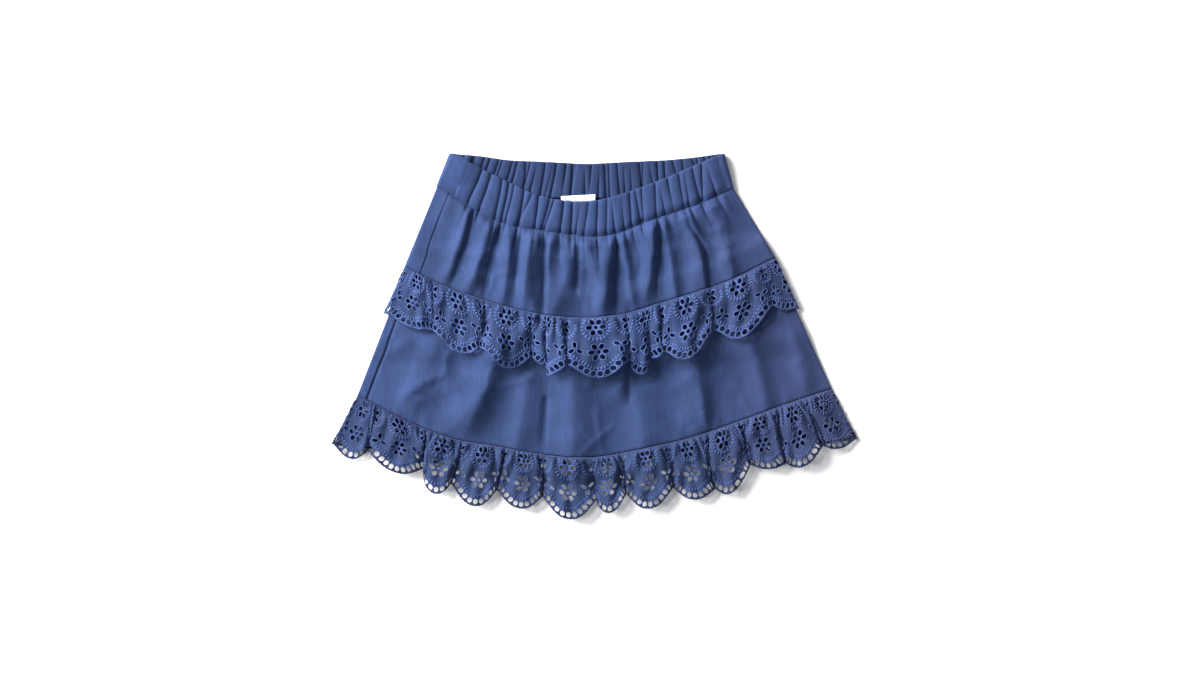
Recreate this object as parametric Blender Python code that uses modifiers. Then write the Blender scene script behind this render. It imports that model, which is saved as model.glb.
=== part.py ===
"""Girl's ruffle skirt, laid flat: elastic waist, two flared cotton tiers and two eyelet ruffles.

Every size is in millimetres until an object is made. As the skirt lies, `across` runs to the right of
its centre line, `down` runs from the top of the waist to the hem, and `height` is above the surface
under it. The front lies on the back, and both turn round a soft fold at each side.
"""

import math
from collections import namedtuple

import bmesh
import bpy

# Driving sizes

MILLIMETRE = 0.001
WALL = 1.0  # one layer of cloth
BAND_WALL = 2.0  # the casing: cloth, elastic, cloth
GAP = 0.3  # between pieces that touch
FACET_ROOM = 0.08  # what flat facets need beyond the gap
LAYER = WALL + GAP
LAP = 3.0  # how far the lower tier runs up behind the middle seam
SEAM_SHARE = 0.018  # the left side seam, as a share of the width from the left fold
FRONT = 1
BACK = -1

# Colours, as linear values

BLUE = (0.075, 0.125, 0.38, 1.0)
WHITE = (0.88, 0.88, 0.92, 1.0)
CLOTH_ROUGHNESS = 0.85

# Seams and plain edges. Each runs from its left corner to its right corner, and sags below the
# straight line between them by the amounts given at each tenth of the way.

Seam = namedtuple("Seam", "left_across left_down right_across right_down sags")

WAIST_TOP_FRONT = Seam(-114, 0, 102, 0, (11, 21, 31, 36, 37, 33, 26, 18, 9))
WAIST_SEAM_FRONT = Seam(-124, 25, 109, 26, (14, 27, 32, 35, 38, 36, 27, 19, 11))
MIDDLE_SEAM_FRONT = Seam(-150, 89, 143, 82, (15, 26, 35, 41, 43, 40, 32, 24, 14))
HEM_SEAM_FRONT = Seam(-187, 190, 187, 185, (20, 35, 42, 49, 51, 45, 37, 25, 12))

WAIST_TOP_BACK = Seam(-114, 0, 102, 0, (2, 5, 6, 7, 8, 7, 6, 5, 3))
WAIST_SEAM_BACK = Seam(-124, 25, 109, 26, (3, 5, 7, 8, 8, 8, 7, 5, 3))
MIDDLE_SEAM_BACK = Seam(-150, 89, 143, 82, (4, 7, 10, 12, 12, 12, 10, 7, 4))
HEM_SEAM_BACK = Seam(-187, 190, 187, 185, (5, 9, 12, 13, 13, 13, 12, 9, 5))
MIDDLE_EDGE_BACK = Seam(-166, 125, 161, 121, (5, 9, 12, 14, 15, 14, 12, 9, 5))
HEM_EDGE_BACK = Seam(-207, 228, 207, 224, (4, 7, 9, 10, 11, 10, 9, 7, 4))

# Scallops of the front ruffles, left to right. Each row gives where the valley at the scallop's left
# starts on the seam and ends at the edge, how far the scallop hangs below the line between its two
# valleys, and how high its wave stands. The last row is the right corner.

Scallop = namedtuple("Scallop", "seam_across across down drop height")

MIDDLE_SCALLOPS = (
    Scallop(-150, -166, 125, 3, 2),
    Scallop(-129, -129, 139, 10, 4),
    Scallop(-90, -89, 153, 12, 5),
    Scallop(-50, -49, 160, 12, 6),
    Scallop(-25, -21, 166, 12, 6),
    Scallop(26, 30, 162, 11, 6),
    Scallop(52, 56, 156, 13, 5),
    Scallop(92, 96, 139, 15, 4),
    Scallop(134, 143, 119, 3, 2),
    Scallop(143, 161, 121, 0, 0),
)
HEM_SCALLOPS = (
    Scallop(-187, -207, 228, 8, 3),
    Scallop(-173, -180, 233, 10, 4),
    Scallop(-135, -135, 247, 16, 6),
    Scallop(-104, -113, 259, 15, 5),
    Scallop(-71, -77, 264, 12, 5),
    Scallop(-41, -41, 269, 17, 6),
    Scallop(-2, 2, 271, 14, 7),
    Scallop(21, 25, 267, 14, 6),
    Scallop(58, 62, 262, 9, 5),
    Scallop(86, 95, 263, 12, 5),
    Scallop(115, 123, 244, 4, 4),
    Scallop(143, 151, 243, 9, 5),
    Scallop(165, 181, 229, 5, 3),
    Scallop(187, 207, 224, 0, 0),
)
BACK_DROP = 9.0  # of the scallops that lie under the skirt
BACK_WAVE = 1.2  # the back's waves are pressed nearly flat
WAVE_POWER = 3  # the higher, the broader a wave's back and the narrower its valleys
DROP_POWER = 2.3  # the same for a scallop's outline
SEAM_FULLNESS = 0.25  # of a wave's height that is left at the seam
FULLNESS_POWER = 0.7  # how soon it fills out below the seam

# Ladder of eyelets along each scallop, and the most of them that one scallop has cut through.

LADDER_INNER = 6.4  # from the edge to the far side of an eyelet
LADDER_OUTER = 1.9  # the rim between eyelet and edge
LADDER_PITCH = 5.3
MOST_EYELETS = 6
EYELET_SHARE = 0.66  # of the pitch, the rest is the bar beside it

# Places across one scallop, as shares of it: of the wave's shape, and of the edge's outline. Then
# the rows down a ruffle above its ladder, as shares of its depth.

WAVE_PARTS = (0.0, 0.08, 0.3, 0.7, 0.92)
EDGE_PARTS = (0.0, 0.1, 0.3, 0.5, 0.7, 0.9)
RUFFLE_ROWS_FRONT = (0.0, 0.3, 0.62)
RUFFLE_ROWS_BACK = (0.0, 0.5)

# Folds of the front. Each row gives a ridge's upper and lower end, its width and its height.

Fold = namedtuple("Fold", "across down end_across end_down width height")

FRONT_FOLDS = (
    Fold(-113, 36, -136, 96, 7, 2.5),
    Fold(-99, 44, -120, 106, 6, 3.5),
    Fold(-82, 52, -95, 116, 7, 4.5),
    Fold(-62, 58, -68, 124, 7, 4.5),
    Fold(-27, 62, -27, 134, 9, 6.0),
    Fold(-2, 64, -2, 136, 7, 5.0),
    Fold(30, 58, 33, 132, 6, 5.0),
    Fold(61, 48, 68, 120, 7, 5.0),
    Fold(87, 38, 107, 106, 8, 3.5),
    Fold(101, 33, 127, 96, 7, 2.5),
    Fold(-158, 140, -170, 196, 9, 2.0),
    Fold(-118, 168, -152, 200, 5, 2.0),
    Fold(-81, 158, -97, 232, 6, 5.0),
    Fold(-23, 172, -25, 246, 8, 4.5),
    Fold(27, 168, 28, 244, 6, 4.5),
    Fold(63, 162, 68, 234, 14, 4.0),
    Fold(120, 144, 131, 208, 8, 4.0),
    Fold(154, 132, 171, 192, 8, 2.0),
)
BACK_FOLDS = (
    Fold(-80, 34, -98, 88, 8, 0.5),
    Fold(-34, 38, -40, 92, 9, 0.5),
    Fold(22, 38, 26, 92, 8, 0.5),
    Fold(70, 34, 86, 86, 9, 0.5),
    Fold(-110, 160, -122, 196, 10, 0.5),
    Fold(-40, 166, -44, 198, 9, 0.5),
    Fold(34, 166, 38, 198, 10, 0.5),
    Fold(104, 156, 120, 192, 9, 0.5),
)
FOLD_RISES = (-0.02, 0.3)  # shares of a fold's length over which it rises
FOLD_FADES = (0.6, 1.15)  # and over which it runs out
SIDE_FADE = 0.05  # share of the width beside each side fold where waves run out

# Gathers of the casing over its elastic.

FRONT_GATHERS = 28
BACK_GATHERS = 38
PLAIN_SHARE = 0.1  # smooth stretch beside the left seam on the front
GATHER_HEIGHT = 1.2
RIB_STEPS_FRONT = 3  # facets across one rib
RIB_STEPS_BACK = 2

# Facets across and down each panel, and round a side fold as far as its outermost point

ACROSS_FRONT = 46
ACROSS_BACK = 22
BAND_ROWS = 2
UPPER_ROWS = 6
LOWER_ROWS = 9
FOLD_STEPS = 3

# Heights of the walls' middles where the stack is known

FLOOR_LAYER = WALL / 2
BAND_FRONT_HEIGHT = 4.6
BAND_BACK_HEIGHT = BAND_WALL / 2
WAIST_FRONT_HEIGHT = BAND_FRONT_HEIGHT - (BAND_WALL - WALL) / 2
BACK_FOLD_ROOM = 0.6  # room over the back for its own low folds
RUFFLE_ROOM = 0.5  # more room over the front's steep folds
RISE_START = 24.0  # how far before a lap the layer on it starts to rise
RISE_END = 12.0
SETTLE_START = 8.0  # how far past an edge the layer on it starts to come down
SETTLE = 16.0  # length over which it comes down
HEM_RISE_START = 10.0  # how far above the hem seam the front starts to rise over the back's waves
HEM_SETTLE_START = 2.0  # how far past the back's edge the front starts to come down
NEARBY = 5.0  # the front bridges dips of the back that are shorter than this, up and down
WAIST_HANG = (1.0, 24.0)  # stretch below the waist seam where the front comes down from the casing
TUCK_INSIDE = 3.6  # how far inside the ruffle the lower tier's top turns at each side

# The blank label sewn in the back waist seam, inside

LABEL_ACROSS = (-26.5, 0.5)
LABEL_LENGTH = 20.0
LABEL_TILT = 1.5
LABEL_COLUMNS = 3
LABEL_ROWS = 2

# Small helpers


def mix(a, b, t):
    return a + (b - a) * t


def ramp(value, start, end):
    """0 before start, 1 after end, and a smooth rise between them."""
    t = min(max((value - start) / (end - start), 0.0), 1.0)
    return t * t * (3 - 2 * t)


def smooth_through(values, t):
    """A Catmull-Rom curve through evenly spaced values, for t from 0 to 1."""
    place = min(max(t, 0.0), 1.0) * (len(values) - 1)
    i = min(int(place), len(values) - 2)
    t = place - i
    a, b = values[i], values[i + 1]
    before = values[i - 1] if i else 2 * a - b
    after = values[i + 2] if i + 2 < len(values) else 2 * b - a
    bend = (2 * before - 5 * a + 4 * b - after) * t * t + (3 * a - before - 3 * b + after) * t ** 3
    return a + 0.5 * ((b - before) * t + bend)


def on_seam(seam, share):
    """(across, down) at a share of a seam's length, from 0 at the left to 1 at the right."""
    across = mix(seam.left_across, seam.right_across, share)
    sag = smooth_through((0, *seam.sags, 0), share)
    return across, mix(seam.left_down, seam.right_down, share) + sag


def seam_down(seam, across):
    """How far down a seam is at this distance across."""
    share = (across - seam.left_across) / (seam.right_across - seam.left_across)
    return on_seam(seam, min(max(share, 0.0), 1.0))[1]


def fold_lift(folds, across, down):
    """How much the folds raise the cloth at a point: rounded ridges that fade at both ends."""
    lift = 0.0
    for fold in folds:
        t = (down - fold.down) / (fold.end_down - fold.down)
        off = (across - mix(fold.across, fold.end_across, t)) / fold.width
        along = ramp(t, *FOLD_RISES) * (1 - ramp(t, *FOLD_FADES))
        lift += fold.height * along * math.exp(-off * off)
    return lift


# Heights of the layers, from the floor up


def ruffle_rise(reach):
    """A ruffle is held at its seam and stands fuller towards its edge."""
    return mix(SEAM_FULLNESS, 1.0, reach ** FULLNESS_POWER)


def side_fade(share):
    """1 over the middle of the skirt, and 0 at its side folds, where the waves run out."""
    return ramp(share, 0.0, SIDE_FADE) * ramp(1 - share, 0.0, SIDE_FADE)


def share_of(seam, across):
    share = (across - seam.left_across) / (seam.right_across - seam.left_across)
    return min(max(share, 0.0), 1.0)


def lower_back_height(across, down):
    """The lower tier's back lies on its upper tier's edge and the ruffle, then comes down."""
    edge = seam_down(MIDDLE_EDGE_BACK, across) + BACK_DROP
    seam = seam_down(MIDDLE_SEAM_BACK, across)
    room = mix(BACK_FOLD_ROOM, BACK_WAVE, ramp(down, seam, edge))
    carried = LAYER + room * side_fade(share_of(MIDDLE_EDGE_BACK, across))
    settled = ramp(down, edge + SETTLE_START, edge + SETTLE_START + SETTLE)
    return FLOOR_LAYER + carried * (1 - settled)


def front_base(across, down):
    """The lowest that the front can lie: just clear of the back's layers under it."""
    lap = seam_down(MIDDLE_SEAM_BACK, across) - LAP
    highest = max(lower_back_height(across, down + step) for step in (-NEARBY, 0, NEARBY))
    carried = (highest - FLOOR_LAYER) * ramp(down, lap - RISE_START, lap - RISE_END)
    hem = seam_down(HEM_SEAM_BACK, across)
    edge = seam_down(HEM_EDGE_BACK, across) + BACK_DROP
    room = mix(BACK_FOLD_ROOM, BACK_WAVE, ramp(down, hem - HEM_RISE_START, edge))
    on_back = 1 - ramp(down, edge + HEM_SETTLE_START, edge + HEM_SETTLE_START + SETTLE)
    return FLOOR_LAYER + (LAYER + room) * on_back + carried


def upper_front_height(across, down):
    """The upper tier hangs from the casing, rests on the back and laps over the lower tier's top."""
    waist = seam_down(WAIST_SEAM_FRONT, across)
    lap = seam_down(MIDDLE_SEAM_FRONT, across) - LAP
    lapped = (LAYER + RUFFLE_ROOM) * ramp(down, lap - RISE_START, lap - RISE_END)
    hung = 1 - ramp(down - waist, *WAIST_HANG)
    lying = mix(front_base(across, down) + lapped, WAIST_FRONT_HEIGHT, hung)
    return lying + fold_lift(FRONT_FOLDS, across, down)


def lower_front_height(across, down):
    return front_base(across, down) + fold_lift(FRONT_FOLDS, across, down)


def gathers(share, count, start):
    """Rounded ribs with sharp valleys between them, from a start share on."""
    if share <= start:
        return 0.0
    place = (share - start) / (1 - start) * count
    return GATHER_HEIGHT * math.sqrt(abs(math.sin(math.pi * place)))


# Where the cloth of each tier lies. A turn of 0 to 1 goes across from the left fold to the right
# fold, -1 and 2 are the outermost points of the folds, halfway up.

Tier = namedtuple("Tier", "lie height")


def between(top, bottom, back_top, back_bottom):
    """Lays a panel between two seams of the front or the back."""

    def lie(side, share, reach):
        upper = on_seam(top if side == FRONT else back_top, share)
        lower = on_seam(bottom if side == FRONT else back_bottom, share)
        return mix(upper[0], lower[0], reach), mix(upper[1], lower[1], reach)

    return lie


def wave(share):
    """Cross-section of one scallop's wave: a broad round back and a narrow valley at each side."""
    return 1 - abs(2 * share - 1) ** WAVE_POWER


def drop_shape(share):
    """Outline of one scallop."""
    return 1 - abs(2 * share - 1) ** DROP_POWER


def scallop_at(scallops, share):
    place = share * (len(scallops) - 1)
    i = min(int(place), len(scallops) - 2)
    return scallops[i], scallops[i + 1], place - i


def ruffle_lie(scallops, seam, back_seam, back_edge):
    """Lays a ruffle from its seam to its scalloped edge."""
    count = len(scallops) - 1

    def lie(side, share, reach):
        if side == BACK:
            upper = on_seam(back_seam, share)
            lower = on_seam(back_edge, share)
            part = share * count % 1.0 if share < 1 else 1.0
            edge_down = lower[1] + BACK_DROP * drop_shape(part)
            return mix(upper[0], lower[0], reach), mix(upper[1], edge_down, reach)
        left, right, part = scallop_at(scallops, share)
        seam_across = mix(left.seam_across, right.seam_across, part)
        edge_down = mix(left.down, right.down, part) + left.drop * drop_shape(part)
        across = mix(seam_across, mix(left.across, right.across, part), reach)
        return across, mix(seam_down(seam, seam_across), edge_down, reach)

    return lie


def ruffle_height(scallops, layers_under):
    """Height of a ruffle's wall, which lies on the front panel or, at the back, on the floor."""
    count = len(scallops) - 1

    def height(side, across, down, share, reach):
        if side == BACK:
            part = share * count % 1.0
            return FLOOR_LAYER + BACK_WAVE * ruffle_rise(reach) * wave(part) * side_fade(share)
        left, _, part = scallop_at(scallops, share)
        waves = left.height * ruffle_rise(reach) * wave(part)
        under = (LAYER + RUFFLE_ROOM) * layers_under
        return lower_front_height(across, down) + under + waves * side_fade(share)

    return height


def band_height(side, across, down, share, reach):
    if side == BACK:
        return BAND_BACK_HEIGHT + gathers(share, BACK_GATHERS, 0.0) * side_fade(share)
    return BAND_FRONT_HEIGHT + gathers(share, FRONT_GATHERS, PLAIN_SHARE) * side_fade(share)


def upper_height(side, across, down, share, reach):
    if side == BACK:
        return FLOOR_LAYER + fold_lift(BACK_FOLDS, across, down) * side_fade(share)
    return upper_front_height(across, down)


def lower_height(side, across, down, share, reach):
    if side == BACK:
        folds = fold_lift(BACK_FOLDS, across, down) * side_fade(share)
        return lower_back_height(across, down) + folds
    return lower_front_height(across, down)


def tucked(seam):
    """The lower tier's top edge: behind the middle seam, and inside the ruffle at both sides."""
    left = (seam.left_across + TUCK_INSIDE, seam.left_down - LAP)
    right = (seam.right_across - TUCK_INSIDE, seam.right_down - LAP)
    return Seam(*left, *right, seam.sags)


BAND = Tier(
    between(WAIST_TOP_FRONT, WAIST_SEAM_FRONT, WAIST_TOP_BACK, WAIST_SEAM_BACK),
    band_height,
)
UPPER = Tier(
    between(WAIST_SEAM_FRONT, MIDDLE_SEAM_FRONT, WAIST_SEAM_BACK, MIDDLE_SEAM_BACK),
    upper_height,
)
LOWER = Tier(
    between(tucked(MIDDLE_SEAM_FRONT), HEM_SEAM_FRONT, tucked(MIDDLE_SEAM_BACK), HEM_SEAM_BACK),
    lower_height,
)
MIDDLE_RUFFLE = Tier(
    ruffle_lie(MIDDLE_SCALLOPS, MIDDLE_SEAM_FRONT, MIDDLE_SEAM_BACK, MIDDLE_EDGE_BACK),
    ruffle_height(MIDDLE_SCALLOPS, 1),
)
HEM_RUFFLE = Tier(
    ruffle_lie(HEM_SCALLOPS, HEM_SEAM_FRONT, HEM_SEAM_BACK, HEM_EDGE_BACK),
    ruffle_height(HEM_SCALLOPS, 0),
)


def fold_radius(tier, share, reach):
    """Half the height between front and back at a side fold."""
    across, down = tier.lie(FRONT, share, reach)
    front, back = (tier.height(side, across, down, share, reach) for side in (FRONT, BACK))
    return (front - back) / 2


def ring_point(tier, side, turn, reach, seam_gap):
    """(across, down, height) of the middle of a wall, at a turn round the skirt and a reach down it."""
    share = min(max(turn, 0.0), 1.0)
    across, down = tier.lie(side, share, reach)
    height = tier.height(side, across, down, share, reach)
    left = fold_radius(tier, 0.0, reach)
    right = fold_radius(tier, 1.0, reach)
    if turn < 0:
        angle = -turn * math.pi / 2
        across += left * (1 - math.sin(angle))
        height -= side * left * (1 - math.cos(angle))
    elif turn > 1:
        angle = (turn - 1) * math.pi / 2
        across -= right * (1 - math.sin(angle))
        height -= side * right * (1 - math.cos(angle))
    else:
        across += left * (1 - share) - right * share
    return across, down + seam_gap, height


def end_turn(radius, wall):
    """How far round a fold a piece goes, so that its wall's end clears the other piece by the gap."""
    tilt = wall / 2 * math.sin(math.pi / 4 / FOLD_STEPS)
    return 2 / math.pi * math.acos((GAP / 2 + tilt + FACET_ROOM) / radius)


# Stations round the skirt, and the rows down it


def even(start, end, count):
    return [mix(start, end, i / count) for i in range(count + 1)]


def fold_turns(out):
    """Steps round a side fold, as far as its outermost point or just short of it."""
    return [out * (i + 1) / FOLD_STEPS for i in range(FOLD_STEPS)]


def front_stations(out, shares):
    """Stations of a front panel, from its left seam to the outermost point of the right fold."""
    return [(FRONT, turn) for turn in shares + [1 + step for step in fold_turns(out)]]


def back_stations(out, shares):
    """Stations of a back panel, from the right fold across to the left, and round it to the seam."""
    right_fold = [1 + step for step in fold_turns(out)[::-1]]
    left_fold = [-step for step in fold_turns(1)]
    below = right_fold + shares[::-1] + left_fold
    above = left_fold[-2::-1] + [0.0, SEAM_SHARE]
    return [(BACK, turn) for turn in below] + [(FRONT, turn) for turn in above]


# Making the solids


def clean_scene():
    for thing in list(bpy.data.objects):
        bpy.data.objects.remove(thing)


def cloth_material(name, colour):
    material = bpy.data.materials.new(name)
    material.use_nodes = True
    shader = material.node_tree.nodes["Principled BSDF"]
    shader.inputs["Base Color"].default_value = colour
    shader.inputs["Roughness"].default_value = CLOTH_ROUGHNESS
    shader.inputs["Metallic"].default_value = 0.0
    return material


def centre_of_skirt():
    """Middle of the whole outline, which becomes the origin."""
    tips = [mix(a.down, b.down, 0.5) + a.drop for a, b in zip(HEM_SCALLOPS, HEM_SCALLOPS[1:])]
    lowest = max(tips)
    return (HEM_SCALLOPS[0].across + HEM_SCALLOPS[-1].across) / 2, lowest / 2


CENTRE_ACROSS, CENTRE_DOWN = centre_of_skirt()


def world(across, down, height):
    return ((across - CENTRE_ACROSS) * MILLIMETRE, (CENTRE_DOWN - down) * MILLIMETRE, height * MILLIMETRE)


def join_alike(sheet, upper, lower, open_cells):
    """Quads between two rows of the same places, but for the cells that are open."""
    for i in range(len(upper) - 1):
        if i not in open_cells:
            sheet.faces.new((upper[i][1], lower[i][1], lower[i + 1][1], upper[i + 1][1]))


def join_unlike(sheet, upper, lower):
    """Triangles between two rows of different places, always to the nearer next point."""
    i = j = 0
    while i < len(upper) - 1 or j < len(lower) - 1:
        corners = [upper[i][1], lower[j][1]]
        lower_done = j == len(lower) - 1
        if lower_done or (i < len(upper) - 1 and upper[i + 1][0] <= lower[j + 1][0]):
            i += 1
            corners.append(upper[i][1])
        else:
            j += 1
            corners.append(lower[j][1])
        sheet.faces.new(corners)


def cloth_object(name, rows, wall, colour, collection, open_row=None, open_cells=()):
    """A walled cloth from rows of (place along the row, point). Rows may differ in their number of
    points. open_cells are the cells left out below the row open_row.
    """
    sheet = bmesh.new()
    rings = [[(place, sheet.verts.new(world(*point))) for place, point in row] for row in rows]
    for number, (upper, lower) in enumerate(zip(rings, rings[1:])):
        if len(upper) == len(lower):
            join_alike(sheet, upper, lower, open_cells if number == open_row else ())
        else:
            join_unlike(sheet, upper, lower)
    mesh = bpy.data.meshes.new(name)
    sheet.to_mesh(mesh)
    sheet.free()
    mesh.shade_smooth()
    cloth = bpy.data.objects.new(name, mesh)
    collection.objects.link(cloth)
    mesh.materials.append(cloth_material(name, colour))
    shell = cloth.modifiers.new("wall", "SOLIDIFY")
    shell.thickness = wall * MILLIMETRE
    shell.offset = 0.0
    return cloth


def panel(name, tier, side, shares, reaches, wall, collection, gap_top, gap_bottom):
    """One plain piece of a tier, front or back, with its side seam near the left fold."""
    rows = []
    for reach in reaches:
        gap = mix(gap_top, gap_bottom, reach)
        out = end_turn(fold_radius(tier, 1.0, reach), wall)
        if side == FRONT:
            width = tier.lie(FRONT, 1.0, reach)[0] - tier.lie(FRONT, 0.0, reach)[0]
            stations = front_stations(out, [SEAM_SHARE + GAP / width] + shares)
        else:
            stations = back_stations(out, [0.0] + shares)
        points = [ring_point(tier, on_side, turn, reach, gap) for on_side, turn in stations]
        rows.append(list(enumerate(points)))
    return cloth_object(name, rows, wall, BLUE, collection)


def eyelet_edges(width):
    """Where the eyelets of one scallop begin and end, as shares of its width."""
    count = max(2, min(MOST_EYELETS, round(width / LADDER_PITCH)))
    hole = EYELET_SHARE / count
    bar = (1 - EYELET_SHARE) / (count + 1)
    edges = []
    place = 0.0
    for _ in range(count):
        place += bar
        edges += [place, place + hole]
        place += hole
    return edges


def repeat_across(parts, count):
    """The same places in each scallop, as shares of the whole ruffle."""
    return [(i + part) / count for i in range(count) for part in parts] + [1.0]


def ladder(scallops, side):
    """Places of the bars and eyelets along a whole ruffle, and the cells that are eyelets."""
    count = len(scallops) - 1
    even_width = (scallops[-1].across - scallops[0].across) / count
    places = [0.0]
    holes = set()
    for i in range(count):
        width = scallops[i + 1].across - scallops[i].across if side == FRONT else even_width
        for number, place in enumerate(eyelet_edges(width)):
            if number % 2 == 0:
                holes.add(FOLD_STEPS + len(places))
            places.append((i + place) / count)
        places.append((i + 1.0) / count)
    return places, holes


def ruffle_row(tier, side, shares, share_down, from_edge):
    """One row along a ruffle, at a share of its depth or at a fixed distance from its edge."""
    left_fold = [-step for step in fold_turns(1)[::-1]]
    right_fold = [1 + step for step in fold_turns(1)]
    row = []
    for turn in left_fold + shares + right_fold:
        share = min(max(turn, 0.0), 1.0)
        reach = share_down
        if share_down is None:
            depth = math.dist(tier.lie(side, share, 0.0), tier.lie(side, share, 1.0))
            reach = 1 - from_edge / depth
        out = end_turn(fold_radius(tier, 1.0, reach), WALL)
        short = share + (turn - share) * out
        gap = (GAP / 2 + FACET_ROOM) * (1 - reach)
        row.append((turn, ring_point(tier, side, short, reach, gap)))
    return row


def ruffle(name, tier, side, scallops, collection):
    """An eyelet ruffle: waves of cloth with scallops, and a ladder of eyelets cut along each."""
    count = len(scallops) - 1
    waves = repeat_across(WAVE_PARTS, count)
    outline = repeat_across(EDGE_PARTS, count)
    bars, holes = ladder(scallops, side)
    upper_rows = RUFFLE_ROWS_FRONT if side == FRONT else RUFFLE_ROWS_BACK
    rows = [ruffle_row(tier, side, waves, share_down, None) for share_down in upper_rows]
    rows.append(ruffle_row(tier, side, bars, None, LADDER_INNER))
    rows.append(ruffle_row(tier, side, bars, None, LADDER_OUTER))
    rows.append(ruffle_row(tier, side, outline, None, 0.0))
    return cloth_object(name, rows, WALL, BLUE, collection, len(upper_rows), holes)


def gather_shares(count, start, steps):
    """Stations across the casing that catch each rib's valley and its rounded back."""
    shares = [start]
    for i in range(count):
        shares += [start + (1 - start) * (i + (k + 1) / steps) / count for k in range(steps)]
    return shares


def label(collection):
    """A blank tape label inside the back, hanging from the waist seam on the upper tier."""
    rows = []
    for down_share in even(0, 1, LABEL_ROWS):
        row = []
        for share in even(0, 1, LABEL_COLUMNS):
            across = mix(*LABEL_ACROSS, share)
            top = seam_down(WAIST_SEAM_BACK, across) + GAP + LABEL_TILT * (1.5 - share)
            down = top + down_share * LABEL_LENGTH
            height = FLOOR_LAYER + fold_lift(BACK_FOLDS, across, down) + LAYER
            row.append((share, (across, down, height)))
        rows.append(row)
    return cloth_object("label", rows, WALL, WHITE, collection)


def build():
    clean_scene()
    skirt = bpy.data.collections.new("ruffle_skirt")
    bpy.context.scene.collection.children.link(skirt)

    half = GAP / 2
    plain = even(SEAM_SHARE, PLAIN_SHARE, RIB_STEPS_FRONT)[1:-1]
    band_front = plain + gather_shares(FRONT_GATHERS, PLAIN_SHARE, RIB_STEPS_FRONT)
    band_back = gather_shares(BACK_GATHERS, 0.0, RIB_STEPS_BACK)[1:]
    band_rows = even(0, 1, BAND_ROWS)
    panel("waistband_front", BAND, FRONT, band_front, band_rows, BAND_WALL, skirt, 0, -half)
    panel("waistband_back", BAND, BACK, band_back, band_rows, BAND_WALL, skirt, 0, -half)
    label(skirt)

    across_front = even(SEAM_SHARE, 1, ACROSS_FRONT)[1:]
    across_back = even(0, 1, ACROSS_BACK)[1:]
    upper_rows = even(0, 1, UPPER_ROWS)
    lower_rows = even(0, 1, LOWER_ROWS)
    panel("upper_panel_front", UPPER, FRONT, across_front, upper_rows, WALL, skirt, half, -half)
    panel("upper_panel_back", UPPER, BACK, across_back, upper_rows, WALL, skirt, half, -half)
    panel("lower_panel_front", LOWER, FRONT, across_front, lower_rows, WALL, skirt, 0, -half)
    panel("lower_panel_back", LOWER, BACK, across_back, lower_rows, WALL, skirt, 0, -half)

    for side, side_name in ((FRONT, "front"), (BACK, "back")):
        ruffle(f"ruffle_mid_{side_name}", MIDDLE_RUFFLE, side, MIDDLE_SCALLOPS, skirt)
        ruffle(f"ruffle_hem_{side_name}", HEM_RUFFLE, side, HEM_SCALLOPS, skirt)


build()
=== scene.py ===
# %% [markdown]
# A girl's ruffle skirt, laid flat
#
# The real skirt is sewn from blue cotton: an elastic casing, two flared tiers and two ruffles of
# eyelet embroidery. It lies flat on a pale surface and is seen from straight above. Here every piece
# of cloth is a thin shell, worked out from the same seams and layers as the construction model, and
# the lace is drawn once as a flat repeat and then laid along each ruffle.

# %% Load the frame
import math
from collections import namedtuple
from functools import partial

import bpy
import numpy as np
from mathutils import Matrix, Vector
from mathutils.geometry import delaunay_2d_cdt


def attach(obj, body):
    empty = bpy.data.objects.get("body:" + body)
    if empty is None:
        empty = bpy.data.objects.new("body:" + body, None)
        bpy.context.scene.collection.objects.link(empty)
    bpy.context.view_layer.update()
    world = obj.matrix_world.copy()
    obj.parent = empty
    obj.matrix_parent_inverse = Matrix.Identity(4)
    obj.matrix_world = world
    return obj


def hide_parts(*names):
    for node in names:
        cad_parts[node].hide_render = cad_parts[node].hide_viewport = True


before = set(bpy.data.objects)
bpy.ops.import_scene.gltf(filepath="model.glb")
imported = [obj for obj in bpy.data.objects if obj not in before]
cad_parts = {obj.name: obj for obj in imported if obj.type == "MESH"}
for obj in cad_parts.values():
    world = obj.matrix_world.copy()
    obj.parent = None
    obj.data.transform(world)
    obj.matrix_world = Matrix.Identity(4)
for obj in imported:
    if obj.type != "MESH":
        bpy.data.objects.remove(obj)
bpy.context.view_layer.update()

# %% [markdown]
# Sizes are in millimetres until a mesh is made. `across` runs to the right of the skirt's centre
# line, `down` runs from the top of the waist to the hem, and `height` is above the floor. A seam is
# two corners and how far the cloth sags below the line between them, so it needs only one row.

# %% Seams of the skirt
MILLIMETRE = 0.001
CENTRE_DOWN = 143.5
FRONT = 1
BACK = -1
LAYER = 1.3
FLOOR_LAYER = 0.5
LAP = 3.0
FOLD_SHARE = 0.05  # of the width, where the cloth settles towards a side fold

Seam = namedtuple("Seam", "left_across left_down right_across right_down sags")

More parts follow.
